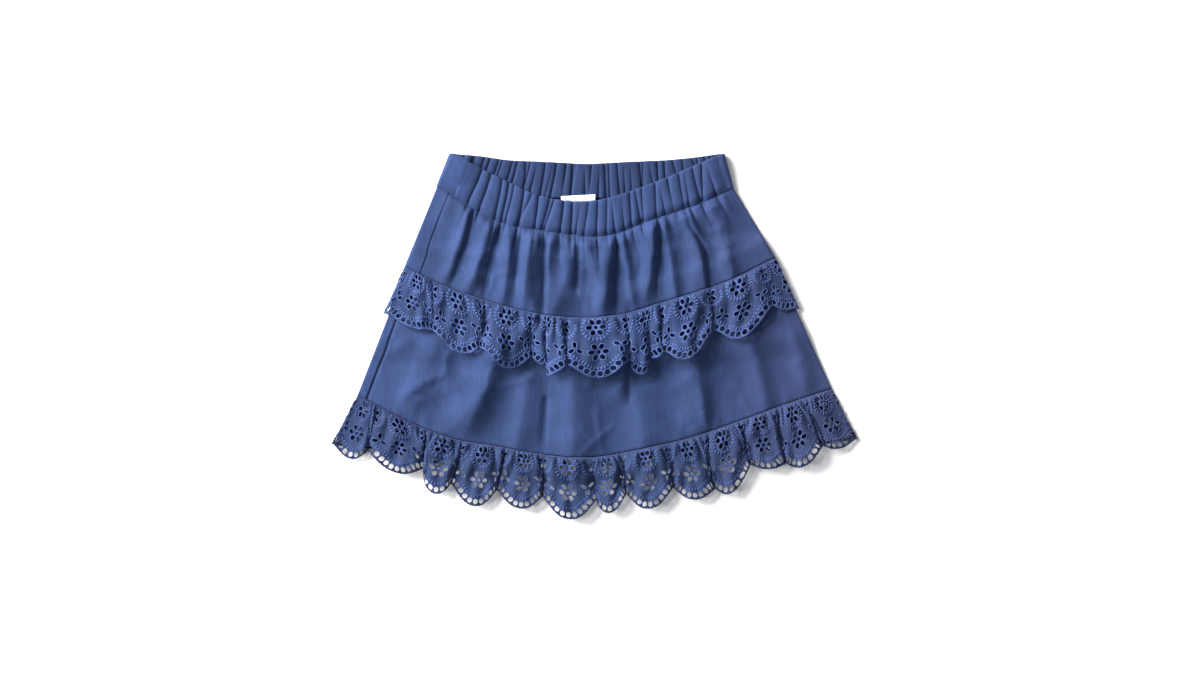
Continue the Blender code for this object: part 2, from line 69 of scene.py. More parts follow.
WAIST_TOP_FRONT = Seam(-114, 0, 102, 0, (11, 21, 31, 36, 37, 33, 26, 18, 9))
WAIST_SEAM_FRONT = Seam(-124, 25, 109, 26, (14, 27, 32, 35, 38, 36, 27, 19, 11))
MIDDLE_SEAM_FRONT = Seam(-150, 89, 143, 82, (15, 26, 35, 41, 43, 40, 32, 24, 14))
HEM_SEAM_FRONT = Seam(-187, 190, 187, 185, (20, 35, 42, 49, 51, 45, 37, 25, 12))
WAIST_TOP_BACK = Seam(-114, 0, 102, 0, (2, 5, 6, 7, 8, 7, 6, 5, 3))
WAIST_SEAM_BACK = Seam(-124, 25, 109, 26, (3, 5, 7, 8, 8, 8, 7, 5, 3))
MIDDLE_SEAM_BACK = Seam(-150, 89, 143, 82, (4, 7, 10, 12, 12, 12, 10, 7, 4))
HEM_SEAM_BACK = Seam(-187, 190, 187, 185, (5, 9, 12, 13, 13, 13, 12, 9, 5))
MIDDLE_EDGE_BACK = Seam(-166, 125, 161, 121, (5, 9, 12, 14, 15, 14, 12, 9, 5))
HEM_EDGE_BACK = Seam(-207, 228, 207, 224, (4, 7, 9, 10, 11, 10, 9, 7, 4))


def mix(a, b, t):
    return a + (b - a) * t


def ramp(value, start, end):
    """0 before start, 1 after end, and a smooth rise between them."""
    t = np.clip((value - start) / (end - start), 0.0, 1.0)
    return t * t * (3 - 2 * t)


def smooth_through(values, t):
    """A Catmull-Rom curve through evenly spaced values, for t from 0 to 1."""
    values = np.asarray(values, float)
    place = np.clip(t, 0.0, 1.0) * (len(values) - 1)
    i = np.minimum(place.astype(int), len(values) - 2)
    t = place - i
    ends = [2 * values[0] - values[1]], [2 * values[-1] - values[-2]]
    padded = np.concatenate((ends[0], values, ends[1]))
    before, a, b, after = (padded[i + k] for k in range(4))
    bend = (2 * before - 5 * a + 4 * b - after) * t**2 + (3 * a - before - 3 * b + after) * t**3
    return a + 0.5 * ((b - before) * t + bend)


def on_seam(seam, share):
    """across and down at a share of a seam's length."""
    share = np.asarray(share, float)
    down = mix(seam.left_down, seam.right_down, share) + smooth_through((0, *seam.sags, 0), share)
    return mix(seam.left_across, seam.right_across, share), down


def seam_width(seam):
    return seam.right_across - seam.left_across


def share_of(seam, across):
    return np.clip((across - seam.left_across) / seam_width(seam), 0, 1)


def seam_down(seam, across):
    return on_seam(seam, share_of(seam, across))[1]


def side_fade(share):
    """1 over the middle of the skirt and 0 at its side folds."""
    return ramp(share, 0.0, FOLD_SHARE) * ramp(1 - share, 0.0, FOLD_SHARE)


print("waist, relaxed:", 2 * seam_width(WAIST_SEAM_FRONT), "mm round")

# %% [markdown]
# Folds are what makes flat cloth look like cloth. A simulation would give folds, but not these
# folds, so each one is listed in a table: a soft ridge or a narrow valley between two points, which
# may bow sideways, with one steep and one shallow side. Small creases that nobody would miss one by
# one are drawn from a seeded random row instead.

# %% Folds of the front
Fold = namedtuple("Fold", "across down end_across end_down bow left right height")

RIDGES = (
    Fold(-101, 40, -117, 92, 3, 6, 5, 2.6),
    Fold(-79, 45, -101, 104, 2, 7, 6, 3.2),
    Fold(-65, 53, -73, 112, 1, 7, 6, 3.6),
    Fold(-48, 58, -56, 112, -1, 6, 11, 6.6),
    Fold(-35, 62, -37, 118, 0, 3, 10, 2.8),
    Fold(-14, 64, -29, 118, 1, 9, 13, 3.8),
    Fold(-10, 64, 6, 119, 3, 5, 10, 3.8),
    Fold(13, 62, 9, 115, 0, 6, 5, 3.4),
    Fold(22, 61, 31, 115, -1, 4, 5, 2.6),
    Fold(46, 56, 42, 108, 1, 8, 6, 4.2),
    Fold(55, 53, 65, 108, 0, 4, 5, 2.6),
    Fold(75, 52, 88, 102, 2, 9, 5, 3.6),
    Fold(96, 46, 111, 92, 2, 8, 10, 2.2),
    Fold(-124, 142, -146, 198, 2, 14, 14, 3.2),
    Fold(-153, 193, -122, 174, -2, 5, 5, 1.0),
    Fold(-122, 172, -106, 187, 1, 5, 5, 1.0),
    Fold(-74, 142, -99, 210, 2, 17, 11, 6.6),
    Fold(-50, 170, -60, 222, 0, 9, 14, 3.4),
    Fold(-19, 146, -17, 232, 1, 12, 20, 6.4),
    Fold(24, 148, 20, 188, 0, 10, 8, 4.0),
    Fold(36, 180, 40, 230, 0, 10, 18, 3.4),
    Fold(73, 140, 86, 206, 2, 15, 8, 4.8),
    Fold(119, 138, 136, 200, 2, 10, 8, 3.2),
    Fold(154, 134, 168, 180, 2, 8, 9, 1.8),
)
VALLEYS = (
    Fold(-97, 42, -111, 94, 3, 2.5, 2, 1.4),
    Fold(-75, 52, -86, 102, 1, 2.5, 2, 1.5),
    Fold(-58, 56, -62, 98, 0, 2.5, 2, 1.4),
    Fold(-39, 61, -40, 115, 0, 3.0, 2, 1.8),
    Fold(-12, 72, -14, 104, 0, 3.0, 3, 2.0),
    Fold(18, 60, 18, 114, 0, 3.0, 2, 2.6),
    Fold(52, 55, 53, 104, 0, 3.0, 2, 2.4),
    Fold(80, 62, 95, 105, 3, 3.0, 2, 2.2),
    Fold(26, 150, 28, 190, 0, 3.0, 2, 1.6),
    Fold(-38, 190, -40, 228, 0, 3.0, 2, 1.6),
    Fold(-142, 188, -120, 200, 2, 2.0, 2, 0.8),
)
BACK_FOLDS = (
    Fold(-80, 34, -98, 88, 0, 8, 8, 0.5),
    Fold(-34, 38, -40, 92, 0, 9, 9, 0.5),
    Fold(22, 38, 26, 92, 0, 8, 8, 0.5),
    Fold(70, 34, 86, 86, 0, 9, 9, 0.5),
    Fold(-110, 160, -122, 196, 0, 10, 10, 0.5),
    Fold(-40, 166, -44, 198, 0, 9, 9, 0.5),
    Fold(34, 166, 38, 198, 0, 10, 10, 0.5),
    Fold(104, 156, 120, 192, 0, 9, 9, 0.5),
)
FOLD_RISES = (-0.15, 0.15)  # shares of a fold's length between which it rises
GATHERED_RISES = (-0.34, -0.06)  # for a fold that starts at the waist
GATHERED_ABOVE = 100
FOLD_FADES = (0.85, 1.35)
FOLD_FULLNESS = 1.32
FOLD_CREST = 1.75  # 2 is a round crest and 1 a sharp one
CREASE_LENGTHS = (12, 34)
CREASE_WIDTHS = (2.4, 5.5)
CREASE_HEIGHTS = (0.25, 0.8)
CREASE_BOWS = (-2, 2)
FLARE_RADIUS = 330  # mm across for each radian that a fold leans out
ROUNDED = 0.2  # how softly a valley meets the layer below


def fold_lift(folds, across, down):
    """How much these folds raise the cloth, measured along and across each one."""
    lift = np.zeros_like(across)
    for fold in folds:
        run = (fold.end_across - fold.across, fold.end_down - fold.down)
        length = math.hypot(*run)
        offset = (across - fold.across, down - fold.down)
        t = (offset[0] * run[0] + offset[1] * run[1]) / length**2
        off = (offset[0] * run[1] - offset[1] * run[0]) / length * np.sign(run[1])
        off = off - fold.bow * 4 * t * (1 - t) * ramp(t, -0.5, 0) * (1 - ramp(t, 1, 1.5))
        reach = off / np.where(off < 0, fold.left, fold.right)
        rises = GATHERED_RISES if fold.down < GATHERED_ABOVE else FOLD_RISES
        along = ramp(t, *rises) * (1 - ramp(t, *FOLD_FADES))
        lift += FOLD_FULLNESS * fold.height * along * np.exp(-(np.abs(reach) ** FOLD_CREST))
    return lift


def small_creases(seed, count, spread_across, spread_down, lean):
    """Short shallow ridges, scattered, that run more or less down the skirt."""
    draw = np.random.default_rng(seed)
    creases = []
    for _ in range(count):
        across = draw.uniform(*spread_across)
        down = draw.uniform(*spread_down)
        length = draw.uniform(*CREASE_LENGTHS)
        angle = math.radians(draw.normal(0, lean)) + across / FLARE_RADIUS
        end = (across + length * math.sin(angle), down + length * math.cos(angle))
        width = draw.uniform(*CREASE_WIDTHS)
        height = draw.uniform(*CREASE_HEIGHTS)
        bow = draw.uniform(*CREASE_BOWS)
        creases.append(Fold(across, down, *end, bow, width, width * 1.3, height))
    return tuple(creases)


CREASES = (
    small_creases(7, 34, (-120, 115), (60, 118), 10)
    + small_creases(8, 60, (-165, 160), (130, 225), 26)
    + small_creases(9, 50, (-115, 108), (40, 85), 5)
)


def front_relief(across, down):
    """The front's folds in all: ridges, less the valleys that part them, never below the layer."""
    lift = fold_lift(RIDGES, across, down) + fold_lift(CREASES, across, down)
    lift = lift - fold_lift(VALLEYS, across, down)
    return 0.5 * (lift + np.sqrt(lift**2 + ROUNDED**2) - ROUNDED)


print("placed folds:", len(RIDGES) + len(VALLEYS), "and small creases:", len(CREASES))

# %% [markdown]
# The skirt is a stack of layers. The back lies on the floor, its lower tier over its own ruffle's
# seam, and the front lies on the back with room for each wave. These heights follow the construction
# model, so every shell sits where its solid is.

# %% Heights of the layers
BACK_DROP = 9.0
BACK_WAVE = 1.2
BACK_FOLD_ROOM = 0.6
RUFFLE_ROOM = 0.5
BAND_FRONT_HEIGHT = 4.6
BAND_BACK_HEIGHT = 1.0
WAIST_FRONT_HEIGHT = 4.1
SEAM_HOLD = 0.92  # how much of a fold the casing's stitches press down at the waist seam

# Where a height starts and ends changing, in mm below the edge or the seam that changes it.
MIDDLE_WAVES_GROW = (-50, 0)
HEM_WAVES_GROW = (-55, 0)
PAST_MIDDLE_EDGE = (8, 24)
PAST_HEM_EDGE = (2, 18)
ONTO_LAP = (-24, -12)
PAST_WAIST = (1, 24)
SEAM_LETS_GO = (0.5, 10)
NEARBY = (-5, 0, 5)


def lower_back_height(across, down):
    below = down - seam_down(MIDDLE_EDGE_BACK, across) - BACK_DROP
    room = mix(BACK_FOLD_ROOM, BACK_WAVE, ramp(below, *MIDDLE_WAVES_GROW))
    carried = LAYER + room * side_fade(share_of(MIDDLE_EDGE_BACK, across))
    return FLOOR_LAYER + carried * (1 - ramp(below, *PAST_MIDDLE_EDGE))


def front_base(across, down):
    """The lowest that the front can lie, just clear of the back's layers."""
    below_lap = down - seam_down(MIDDLE_SEAM_BACK, across) + LAP
    highest = np.maximum.reduce([lower_back_height(across, down + step) for step in NEARBY])
    carried = (highest - FLOOR_LAYER) * ramp(below_lap, *ONTO_LAP)
    below = down - seam_down(HEM_EDGE_BACK, across) - BACK_DROP
    room = mix(BACK_FOLD_ROOM, BACK_WAVE, ramp(below, *HEM_WAVES_GROW))
    return FLOOR_LAYER + (LAYER + room) * (1 - ramp(below, *PAST_HEM_EDGE)) + carried


def upper_front_height(across, down):
    below_waist = down - seam_down(WAIST_SEAM_FRONT, across)
    below_lap = down - seam_down(MIDDLE_SEAM_FRONT, across) + LAP
    settled = front_base(across, down) + (LAYER + RUFFLE_ROOM) * ramp(below_lap, *ONTO_LAP)
    lying = mix(settled, WAIST_FRONT_HEIGHT, 1 - ramp(below_waist, *PAST_WAIST))
    held = SEAM_HOLD * (1 - ramp(below_waist, *SEAM_LETS_GO))
    return lying + front_relief(across, down) * (1 - held)


def lower_front_height(across, down):
    return front_base(across, down) + front_relief(across, down)


probe = np.array([-100.0, 0.0, 100.0])
print("front's height at three places, mm:", upper_front_height(probe, np.full(3, 90.0)).round(1))

# %% [markdown]
# Elastic pulls the waist into gathers. Each gather is a rounded rib between two sharp valleys, and a
# valley may run out before it reaches the other edge, so that ribs fork. The same valleys go on below
# the casing seam for a little way. They are drawn as a table once, and both pieces read it.

# %% Gathers of the waist
Gathers = namedtuple("Gathers", "top bottom top_depth bottom_depth tail")
PLAIN_SHARE = 0.1  # of the front, at its left end, that has no gathers
GATHER_SHIFT = 0.36  # at most, in steps from one gather to the next
GATHER_SLANT = 0.34  # in the same steps, from the top edge to the seam
GATHER_DEPTHS = (0.45, 1.05)
GATHER_TAILS = (9, 32)
FORKS_AT_TOP = 0.24  # a draw below this one leaves a valley out at the top edge
FORKS_BELOW = 0.88  # and one above this one all but fills it at the seam
FILLED_DEPTH = 0.1


def gather_table(seed, count, start):
    """Places of the valleys at both edges of the casing, as shares, and how deep they are."""
    draw = np.random.default_rng(seed)
    even = start + (1 - start) * (np.arange(count) + 0.5) / count
    step = (1 - start) / count
    top = even + draw.uniform(-GATHER_SHIFT, GATHER_SHIFT, count) * step
    bottom = top + draw.normal(0, GATHER_SLANT, count) * step
    depths = draw.uniform(*GATHER_DEPTHS, (2, count))
    forked = draw.random(count)
    depths[0] = np.where(forked < FORKS_AT_TOP, 0.0, depths[0])
    depths[1] = np.where(forked > FORKS_BELOW, FILLED_DEPTH, depths[1])
    return Gathers(top, bottom, depths[0], depths[1], draw.uniform(*GATHER_TAILS, count))


FRONT_GATHERS = gather_table(3, 30, PLAIN_SHARE)
BACK_GATHERS = gather_table(4, 40, 0.0)
FINE_GATHERS = gather_table(5, 84, PLAIN_SHARE)
FINE_DEPTH = 0.5
FINE_TAIL = 0.45
GROOVE_POWER = 1.2  # 2 is a round valley and 1 a sharp one
GROOVE_LIMIT = 1.15
GROOVE_WIDENS = 0.075  # mm for each mm below the seam
TAIL_POWER = 1.5


def rib_height(table, share, reach, width, sharpness):
    """1 on a rib's back and down to 0 in its valleys."""
    groove = np.zeros_like(share)
    rows = zip(table.top, table.bottom, table.top_depth, table.bottom_depth)
    for top, bottom, top_depth, bottom_depth in rows:
        away = np.abs(share - mix(top, bottom, reach)) * width / sharpness
        groove += mix(top_depth, bottom_depth, reach) * np.exp(-(away**GROOVE_POWER))
    return 1 - np.minimum(groove, GROOVE_LIMIT)


def gathers_below(table, share, fall, width, fineness=1.0):
    """What is left of the gathers at a distance below the seam: grooves that widen and run out."""
    groove = np.zeros_like(share)
    spread = 1.0 + GROOVE_WIDENS * fall
    for place, depth, tail in zip(table.bottom, table.bottom_depth, table.tail):
        away = np.abs(share - place) * width / spread
        left_over = np.exp(-((fall / tail / fineness) ** TAIL_POWER))
        groove += depth * np.exp(-(away**GROOVE_POWER)) * left_over
    return groove


print("gathers, front and back:", len(FRONT_GATHERS.top), len(BACK_GATHERS.top))

# %% [markdown]
# Each tier is a ring round the body: a front and a back that meet in a soft fold at each side. A
# point of it is given by its side, its turn (0 at the left fold, 1 at the right one, and on to -1 or
# 2 at the outermost point of the fold) and its reach from the tier's top to its bottom.

# %% Surface of a tier
Tier = namedtuple("Tier", "front_top front_bottom back_top back_bottom height")
FRONT_WIDTH = seam_width(WAIST_SEAM_FRONT)
BACK_WIDTH = 226  # mm across the back of the casing, about halfway down it
RIB_HEIGHT = 2.5
FRONT_CREASE = 1.5  # width of a valley between ribs
BACK_CREASE = 1.2
SEAM_PINCH = 3.0
PINCH_GROWS = (0.84, 1.02)  # shares of the casing's depth
END_RISE = 3.6
END_RISE_FADES = (0.3, 1.0)
LEFT_END = 0.07
RIGHT_END = 0.06
RIGHT_RISE = 0.6  # of the left end's
TUCK = 3.6  # how far the lower tier lies inside the ruffle at each side

# The cloth just below the waist seam swells up between its gathers, in mm.
SWELL = 3.3
SWELL_GROWS = (0.0, 4.5)
SWELL_FADES = (10, 38)
FLAT_SWELL = 0.9
GROOVE_SHARE = 0.72
SWELL_GROOVE_LIMIT = 1.4


def band_height(side, share, reach, across, down):
    if side == BACK:
        ribs = rib_height(BACK_GATHERS, share, reach, BACK_WIDTH, BACK_CREASE)
        return BAND_BACK_HEIGHT + RIB_HEIGHT * ribs * side_fade(share)
    ribs = rib_height(FRONT_GATHERS, share, reach, FRONT_WIDTH, FRONT_CREASE)
    pinched = SEAM_PINCH * ramp(reach, *PINCH_GROWS)
    left_end = np.exp(-((share / LEFT_END) ** 2))
    right_end = RIGHT_RISE * np.exp(-(((1 - share) / RIGHT_END) ** 2))
    stands = END_RISE * (left_end + right_end) * (1 - ramp(reach, *END_RISE_FADES))
    lying = BAND_FRONT_HEIGHT + stands
    return lying + (RIB_HEIGHT * ribs - pinched) * side_fade(share)


def upper_height(side, share, reach, across, down):
    if side == BACK:
        folds = fold_lift(BACK_FOLDS, across, down) * side_fade(share)
        return FLOOR_LAYER + folds
    fall = np.maximum(down - seam_down(WAIST_SEAM_FRONT, across), 0)
    width = mix(FRONT_WIDTH, seam_width(MIDDLE_SEAM_FRONT), reach)
    grooves = gathers_below(FRONT_GATHERS, share, fall, width)
    grooves += FINE_DEPTH * gathers_below(FINE_GATHERS, share, fall, width, FINE_TAIL)
    swell = FLAT_SWELL + SWELL * ramp(fall, *SWELL_GROWS) * (1 - ramp(fall, *SWELL_FADES))
    fullness = swell * (1 - GROOVE_SHARE * np.minimum(grooves, SWELL_GROOVE_LIMIT)) - FLAT_SWELL
    return upper_front_height(across, down) + fullness * side_fade(share)


def lower_height(side, share, reach, across, down):
    if side == BACK:
        folds = fold_lift(BACK_FOLDS, across, down) * side_fade(share)
        return lower_back_height(across, down) + folds
    return lower_front_height(across, down)


def tucked(seam):
    """The lower tier's top: behind the middle seam, and inside the ruffle at both sides."""
    left = (seam.left_across + TUCK, seam.left_down - LAP)
    right = (seam.right_across - TUCK, seam.right_down - LAP)
    return Seam(*left, *right, seam.sags)


BAND = Tier(WAIST_TOP_FRONT, WAIST_SEAM_FRONT, WAIST_TOP_BACK, WAIST_SEAM_BACK, band_height)
UPPER = Tier(WAIST_SEAM_FRONT, MIDDLE_SEAM_FRONT, WAIST_SEAM_BACK, MIDDLE_SEAM_BACK, upper_height)
TUCKED_FRONT = tucked(MIDDLE_SEAM_FRONT)
TUCKED_BACK = tucked(MIDDLE_SEAM_BACK)
LOWER = Tier(TUCKED_FRONT, HEM_SEAM_FRONT, TUCKED_BACK, HEM_SEAM_BACK, lower_height)


def lie(tier, side, share, reach):
    top = on_seam(tier.front_top if side == FRONT else tier.back_top, share)
    bottom = on_seam(tier.front_bottom if side == FRONT else tier.back_bottom, share)
    return mix(top[0], bottom[0], reach), mix(top[1], bottom[1], reach)


def fold_radius(tier, end, reach):
    """Half the height between front and back at a side fold."""
    share = np.full_like(reach, float(end))
    levels = []
    for side in (FRONT, BACK):
        across, down = lie(tier, side, share, reach)
        levels.append(tier.height(side, share, reach, across, down))
    return (levels[0] - levels[1]) / 2


def turned(side, turn, share, across, height, left, right):
    """Takes a flat place round the side folds, whose radii are left and right."""
    angle = np.clip(np.maximum(-turn, turn - 1), 0, 1) * math.pi / 2
    inset = left * (1 - share) - right * share
    inset = np.where(turn > 1, -right * (1 - np.sin(angle)), inset)
    inset = np.where(turn < 0, left * (1 - np.sin(angle)), inset)
    radius = np.where(turn < 0, left, right)
    return across + inset, height - side * radius * (1 - np.cos(angle))


def surface(tier, side, turn, reach):
    """Points of a tier's cloth, as an array of x, y and z in millimetres."""
    turn, reach = np.broadcast_arrays(np.asarray(turn, float), np.asarray(reach, float))
    share = np.clip(turn, 0, 1)
    across, down = lie(tier, side, share, reach)
    height = tier.height(side, share, reach, across, down)
    radii = [fold_radius(tier, end, reach) for end in (0, 1)]
    across, height = turned(side, turn, share, across, height, *radii)
    return np.stack([across, CENTRE_DOWN - down, height], axis=-1)


print("a point of the front, mm:", surface(UPPER, FRONT, [0.5], [0.5]).round(1))

# %% [markdown]
# A grid of such points becomes a mesh. Folded edges, such as the casing's top, are rolled: the
# surface goes on round a small half circle and back along its own underside. That gives the edge a
# thickness which catches the light, at little cost.

# %% Grids, rolled edges and meshes
def grid_faces(rows, columns, closed=False):
    """Quads of a grid of points. A closed one goes on from its last row to its first."""
    bands = rows if closed else rows - 1
    row, column = np.meshgrid(np.arange(bands), np.arange(columns - 1), indexing="ij")
    first = (row * columns + column).ravel()
    below = ((row + 1) % rows * columns + column).ravel()
    return np.stack([first, below, below + 1, first + 1], axis=1)


def normals_of(points):
    """Upward normals of a grid of points."""
    along = np.gradient(points, axis=1)
    down = np.gradient(points, axis=0)
    normal = np.cross(down, along)
    return normal / np.maximum(np.linalg.norm(normal, axis=2, keepdims=True), 1e-9)


def put(name, data):
    """Links a new object with this data to the scene."""
    made = bpy.data.objects.new(name, data)
    bpy.context.scene.collection.objects.link(made)
    return made


def make_piece(name, points, faces, *materials):
    mesh = bpy.data.meshes.new(name)
    mesh.from_pydata((points.reshape(-1, 3) * MILLIMETRE).tolist(), [], faces)
    mesh.shade_smooth()
    for material in materials:
        mesh.materials.append(material)
    return put(name, mesh)


def rolled_piece(name, points, thickness, material, inner_rows=4):
    """A folded strip: the grid as its upper face, round both edges, and an underside."""
    normal = normals_of(points)
    half = thickness / 2
    under_rows = np.linspace(len(points) - 1, 0, inner_rows).round().astype(int)
    under = points[under_rows] - normal[under_rows] * half
    angles = np.linspace(math.pi / 2, -math.pi / 2, 5)[1:-1]
    edges = ((-1, points[-1] - points[-2], angles), (0, points[0] - points[1], -angles))
    rolls = []
    for row, way, turns in edges:
        way = way / np.linalg.norm(way, axis=1, keepdims=True)
        roll = [points[row] + half * (way * np.cos(a) + normal[row] * np.sin(a)) for a in turns]
        rolls.append(np.array(roll))
    strip = np.concatenate([points + normal * half, rolls[0], under, rolls[1]])
    return make_piece(name, strip, grid_faces(*strip.shape[:2], closed=True).tolist(), material)


def thicken(piece, thickness):
    """A thin wall for a single layer of cloth."""
    wall = piece.modifiers.new("cloth", "SOLIDIFY")
    wall.thickness = thickness * MILLIMETRE
    wall.offset = 0.0


print("a 3 by 4 grid has", len(grid_faces(3, 4)), "faces")

# %% [markdown]
# Cotton poplin is a plain weave of fine yarn, about 0.25 mm from thread to thread, dyed blue and
# washed. It looks matt with a faint bloom where it turns away, which the shader's sheen gives. Its
# thread is too fine to show at this distance, so the weave is drawn at 0.8 mm, with thicker slubs
# running down and a soft mottle. Towards the skirt's right side the cloth looks a little redder, so
# each dye has a colour, a deeper tone for the mottle and a tone for that side.

# %% Cotton poplin and embroidery thread
Dye = namedtuple("Dye", "colour deep side")
POPLIN_DYE = Dye("#2C3E69", "#233458", "#34385C")
# A darker poplin: painted shade for the casing's inside, which the light reaches less.
PAINTED_SHADE_DYE = Dye("#26355A", "#1E2C4D", "#26355A")
LACE_DYE = Dye("#27385F", "#1F2E50", "#34385C")
HEM_DYE = Dye("#273659", "#1F2D4C", "#34385C")
THREAD_DYE = Dye("#41558A", "#344878", "#41486F")
HEM_THREAD_DYE = Dye("#344677", "#293A66", "#41486F")
CORD_DYE = Dye("#202C50", "#202C50", "#202C50")
TAPE_DYE = Dye("#F3F3F7", "#E6E6EE", "#F3F3F7")
BLOOM = "#8C9CDC"
SPECULAR = 0.25
SHEEN_ROUGHNESS = 0.45
THREAD_SPACING = 0.0008
THREAD_RELIEF = 0.00025
SLUB_STRETCH = (900, 60, 900)
MOTTLE_SCALE = 55.0
MOTTLE_RANGE = (0.12, 0.38)
SIDE_RANGE = (0.06, 0.22)  # metres to the right of the centre line
SIDE_SHARE = 0.65


def linear(hex_colour):
    """An sRGB hex colour as linear values with alpha."""
    parts = [int(hex_colour[i : i + 2], 16) / 255 for i in (1, 3, 5)]
    return tuple(c / 12.92 if c <= 0.04045 else ((c + 0.055) / 1.055) ** 2.4 for c in parts) + (1.0,)


def add_node(tree, kind, inputs=None, **settings):
    """Adds a node, sets its properties, and links or sets its inputs."""
    made = tree.nodes.new(kind)
    for name, value in settings.items():
        setattr(made, name, value)
    for socket, value in (inputs or {}).items():
        if isinstance(value, bpy.types.NodeSocket):
            tree.links.new(value, made.inputs[socket])
        else:
            made.inputs[socket].default_value = value
    return made


def combine(tree, operation, first, second):
    return add_node(tree, "ShaderNodeMath", {0: first, 1: second}, operation=operation).outputs[0]


def noise(tree, vector, scale, detail):
    sockets = {"Vector": vector, "Scale": scale, "Detail": detail}
    return add_node(tree, "ShaderNodeTexNoise", sockets).outputs["Fac"]


def graded(tree, value, start, end, highest):
    """0 at the start, highest at the end, and in proportion between them."""
    sockets = {0: value, 1: start, 2: end, 3: 0.0, 4: highest}
    return add_node(tree, "ShaderNodeMapRange", sockets).outputs[0]


def blend(tree, share, first, second):
    sockets = {0: share, 6: first, 7: second}
    return add_node(tree, "ShaderNodeMix", sockets, data_type="RGBA").outputs[2]


def thread_waves(tree, place, direction):
    """Bands one thread apart, in one of the two directions of the weave."""
    turns = 2 * math.pi / 20 / THREAD_SPACING
    sockets = {"Vector": place, "Scale": turns, "Distortion": 0.8, "Detail": 1.0, "Detail Scale": 0.2}
    return add_node(tree, "ShaderNodeTexWave", sockets, bands_direction=direction).outputs["Fac"]


def cloth_material(name, dye, roughness, sheen, weave_depth, bloom=BLOOM):
    """Woven cotton: two crossed sets of threads, slubs, mottle and a redder side."""
    material = bpy.data.materials.new(name)
    material.use_nodes = True
    tree = material.node_tree
    shader = tree.nodes["Principled BSDF"]
    shader.inputs["Roughness"].default_value = roughness
    shader.inputs["Specular IOR Level"].default_value = SPECULAR
    shader.inputs["Sheen Weight"].default_value = sheen
    shader.inputs["Sheen Roughness"].default_value = SHEEN_ROUGHNESS
    shader.inputs["Sheen Tint"].default_value = linear(bloom)
    place = add_node(tree, "ShaderNodeTexCoord").outputs["Object"]
    warp = thread_waves(tree, place, "X")
    weft = thread_waves(tree, place, "Y")
    weave = combine(tree, "MULTIPLY", warp, weft)
    stretch = {"Vector": place, "Scale": SLUB_STRETCH}
    slubs = noise(tree, add_node(tree, "ShaderNodeMapping", stretch).outputs[0], 1.0, 3.0)
    mottle = noise(tree, place, MOTTLE_SCALE, 4.0)
    tone = graded(tree, combine(tree, "MULTIPLY", slubs, mottle), *MOTTLE_RANGE, 1.0)
    blue = blend(tree, tone, linear(dye.deep), linear(dye.colour))
    right = add_node(tree, "ShaderNodeSeparateXYZ", {0: place}).outputs["X"]
    redness = graded(tree, right, *SIDE_RANGE, SIDE_SHARE)
    tree.links.new(blend(tree, redness, blue, linear(dye.side)), shader.inputs["Base Color"])
    relief = combine(tree, "ADD", weave, slubs)
    depth = {"Strength": weave_depth, "Distance": THREAD_RELIEF, "Height": relief}
    tree.links.new(add_node(tree, "ShaderNodeBump", depth).outputs[0], shader.inputs["Normal"])
    return material


Finish = namedtuple("Finish", "roughness sheen weave_depth")
poplin = cloth_material("cotton_poplin", POPLIN_DYE, *Finish(0.86, 0.2, 0.45))
# The darker poplin is painted shade, for the inside of the casing.
poplin_painted_shade = cloth_material("cotton_poplin_painted_shade", PAINTED_SHADE_DYE, *Finish(0.9, 0.1, 0.45))
lace_cloth = cloth_material("eyelet_cotton", LACE_DYE, *Finish(0.84, 0.2, 0.45))
hem_lace_cloth = cloth_material("eyelet_cotton_hem", HEM_DYE, *Finish(0.84, 0.15, 0.45))
thread = cloth_material("cotton_embroidery_thread", THREAD_DYE, *Finish(0.62, 0.3, 0.3))
hem_thread = cloth_material("cotton_hem_thread", HEM_THREAD_DYE, *Finish(0.66, 0.2, 0.3))
sewing_thread = cloth_material("cotton_sewing_thread", POPLIN_DYE, *Finish(0.7, 0.1, 0.2))
edge_cord = cloth_material("cotton_edge_cord", CORD_DYE, *Finish(0.7, 0.1, 0.3))
tape = cloth_material("polyester_label_tape", TAPE_DYE, *Finish(0.5, 0.1, 0.3), bloom=TAPE_DYE.colour)
print("materials:", [m.name for m in (poplin, lace_cloth, hem_lace_cloth, thread, hem_thread, tape)])

# %% [markdown]
# The casing is cloth folded over elastic. Both halves are folded strips: the front one hides most of
# the back one, whose inside shows above it where the waist dips.

# %% Waist casing
BAND_THICKNESS = 1.7
SEAM_LAP = 0.8  # how far the front's edge goes under the back's at the side seam
LAP_COLUMNS = (1.0, 0.9, 0.5)
SEAM_REACH = 0.004  # share of the width that the back goes on over the front
RIGHT_SEAM_TURN = 1.97
FOLD_STEPS = 7
FOLD_TURNS = 1 - np.linspace(1, 0, FOLD_STEPS)[1:-1]


def front_grid(tier, seam_share, count, reaches, bulge=0.0):
    """The front, on round the right fold. Its ribs may bulge past both edges."""
    turns = np.concatenate([np.linspace(seam_share, 1, count), 1 + FOLD_TURNS, [RIGHT_SEAM_TURN]])
    turn, reach = np.meshgrid(turns, reaches)
    points = surface(tier, FRONT, turn, reach)
    points[:, : len(LAP_COLUMNS), 2] -= SEAM_LAP * np.array(LAP_COLUMNS)
    if bulge:
        share = np.clip(turn, 0, 1)
        ribs = rib_height(FRONT_GATHERS, share, reach, FRONT_WIDTH, FRONT_CREASE) * side_fade(share)
        points[..., 1] += bulge * ribs * (0.3 - 0.3 * ramp(reach, 0, 0.2) - ramp(reach, 0.75, 1.0))
    return points


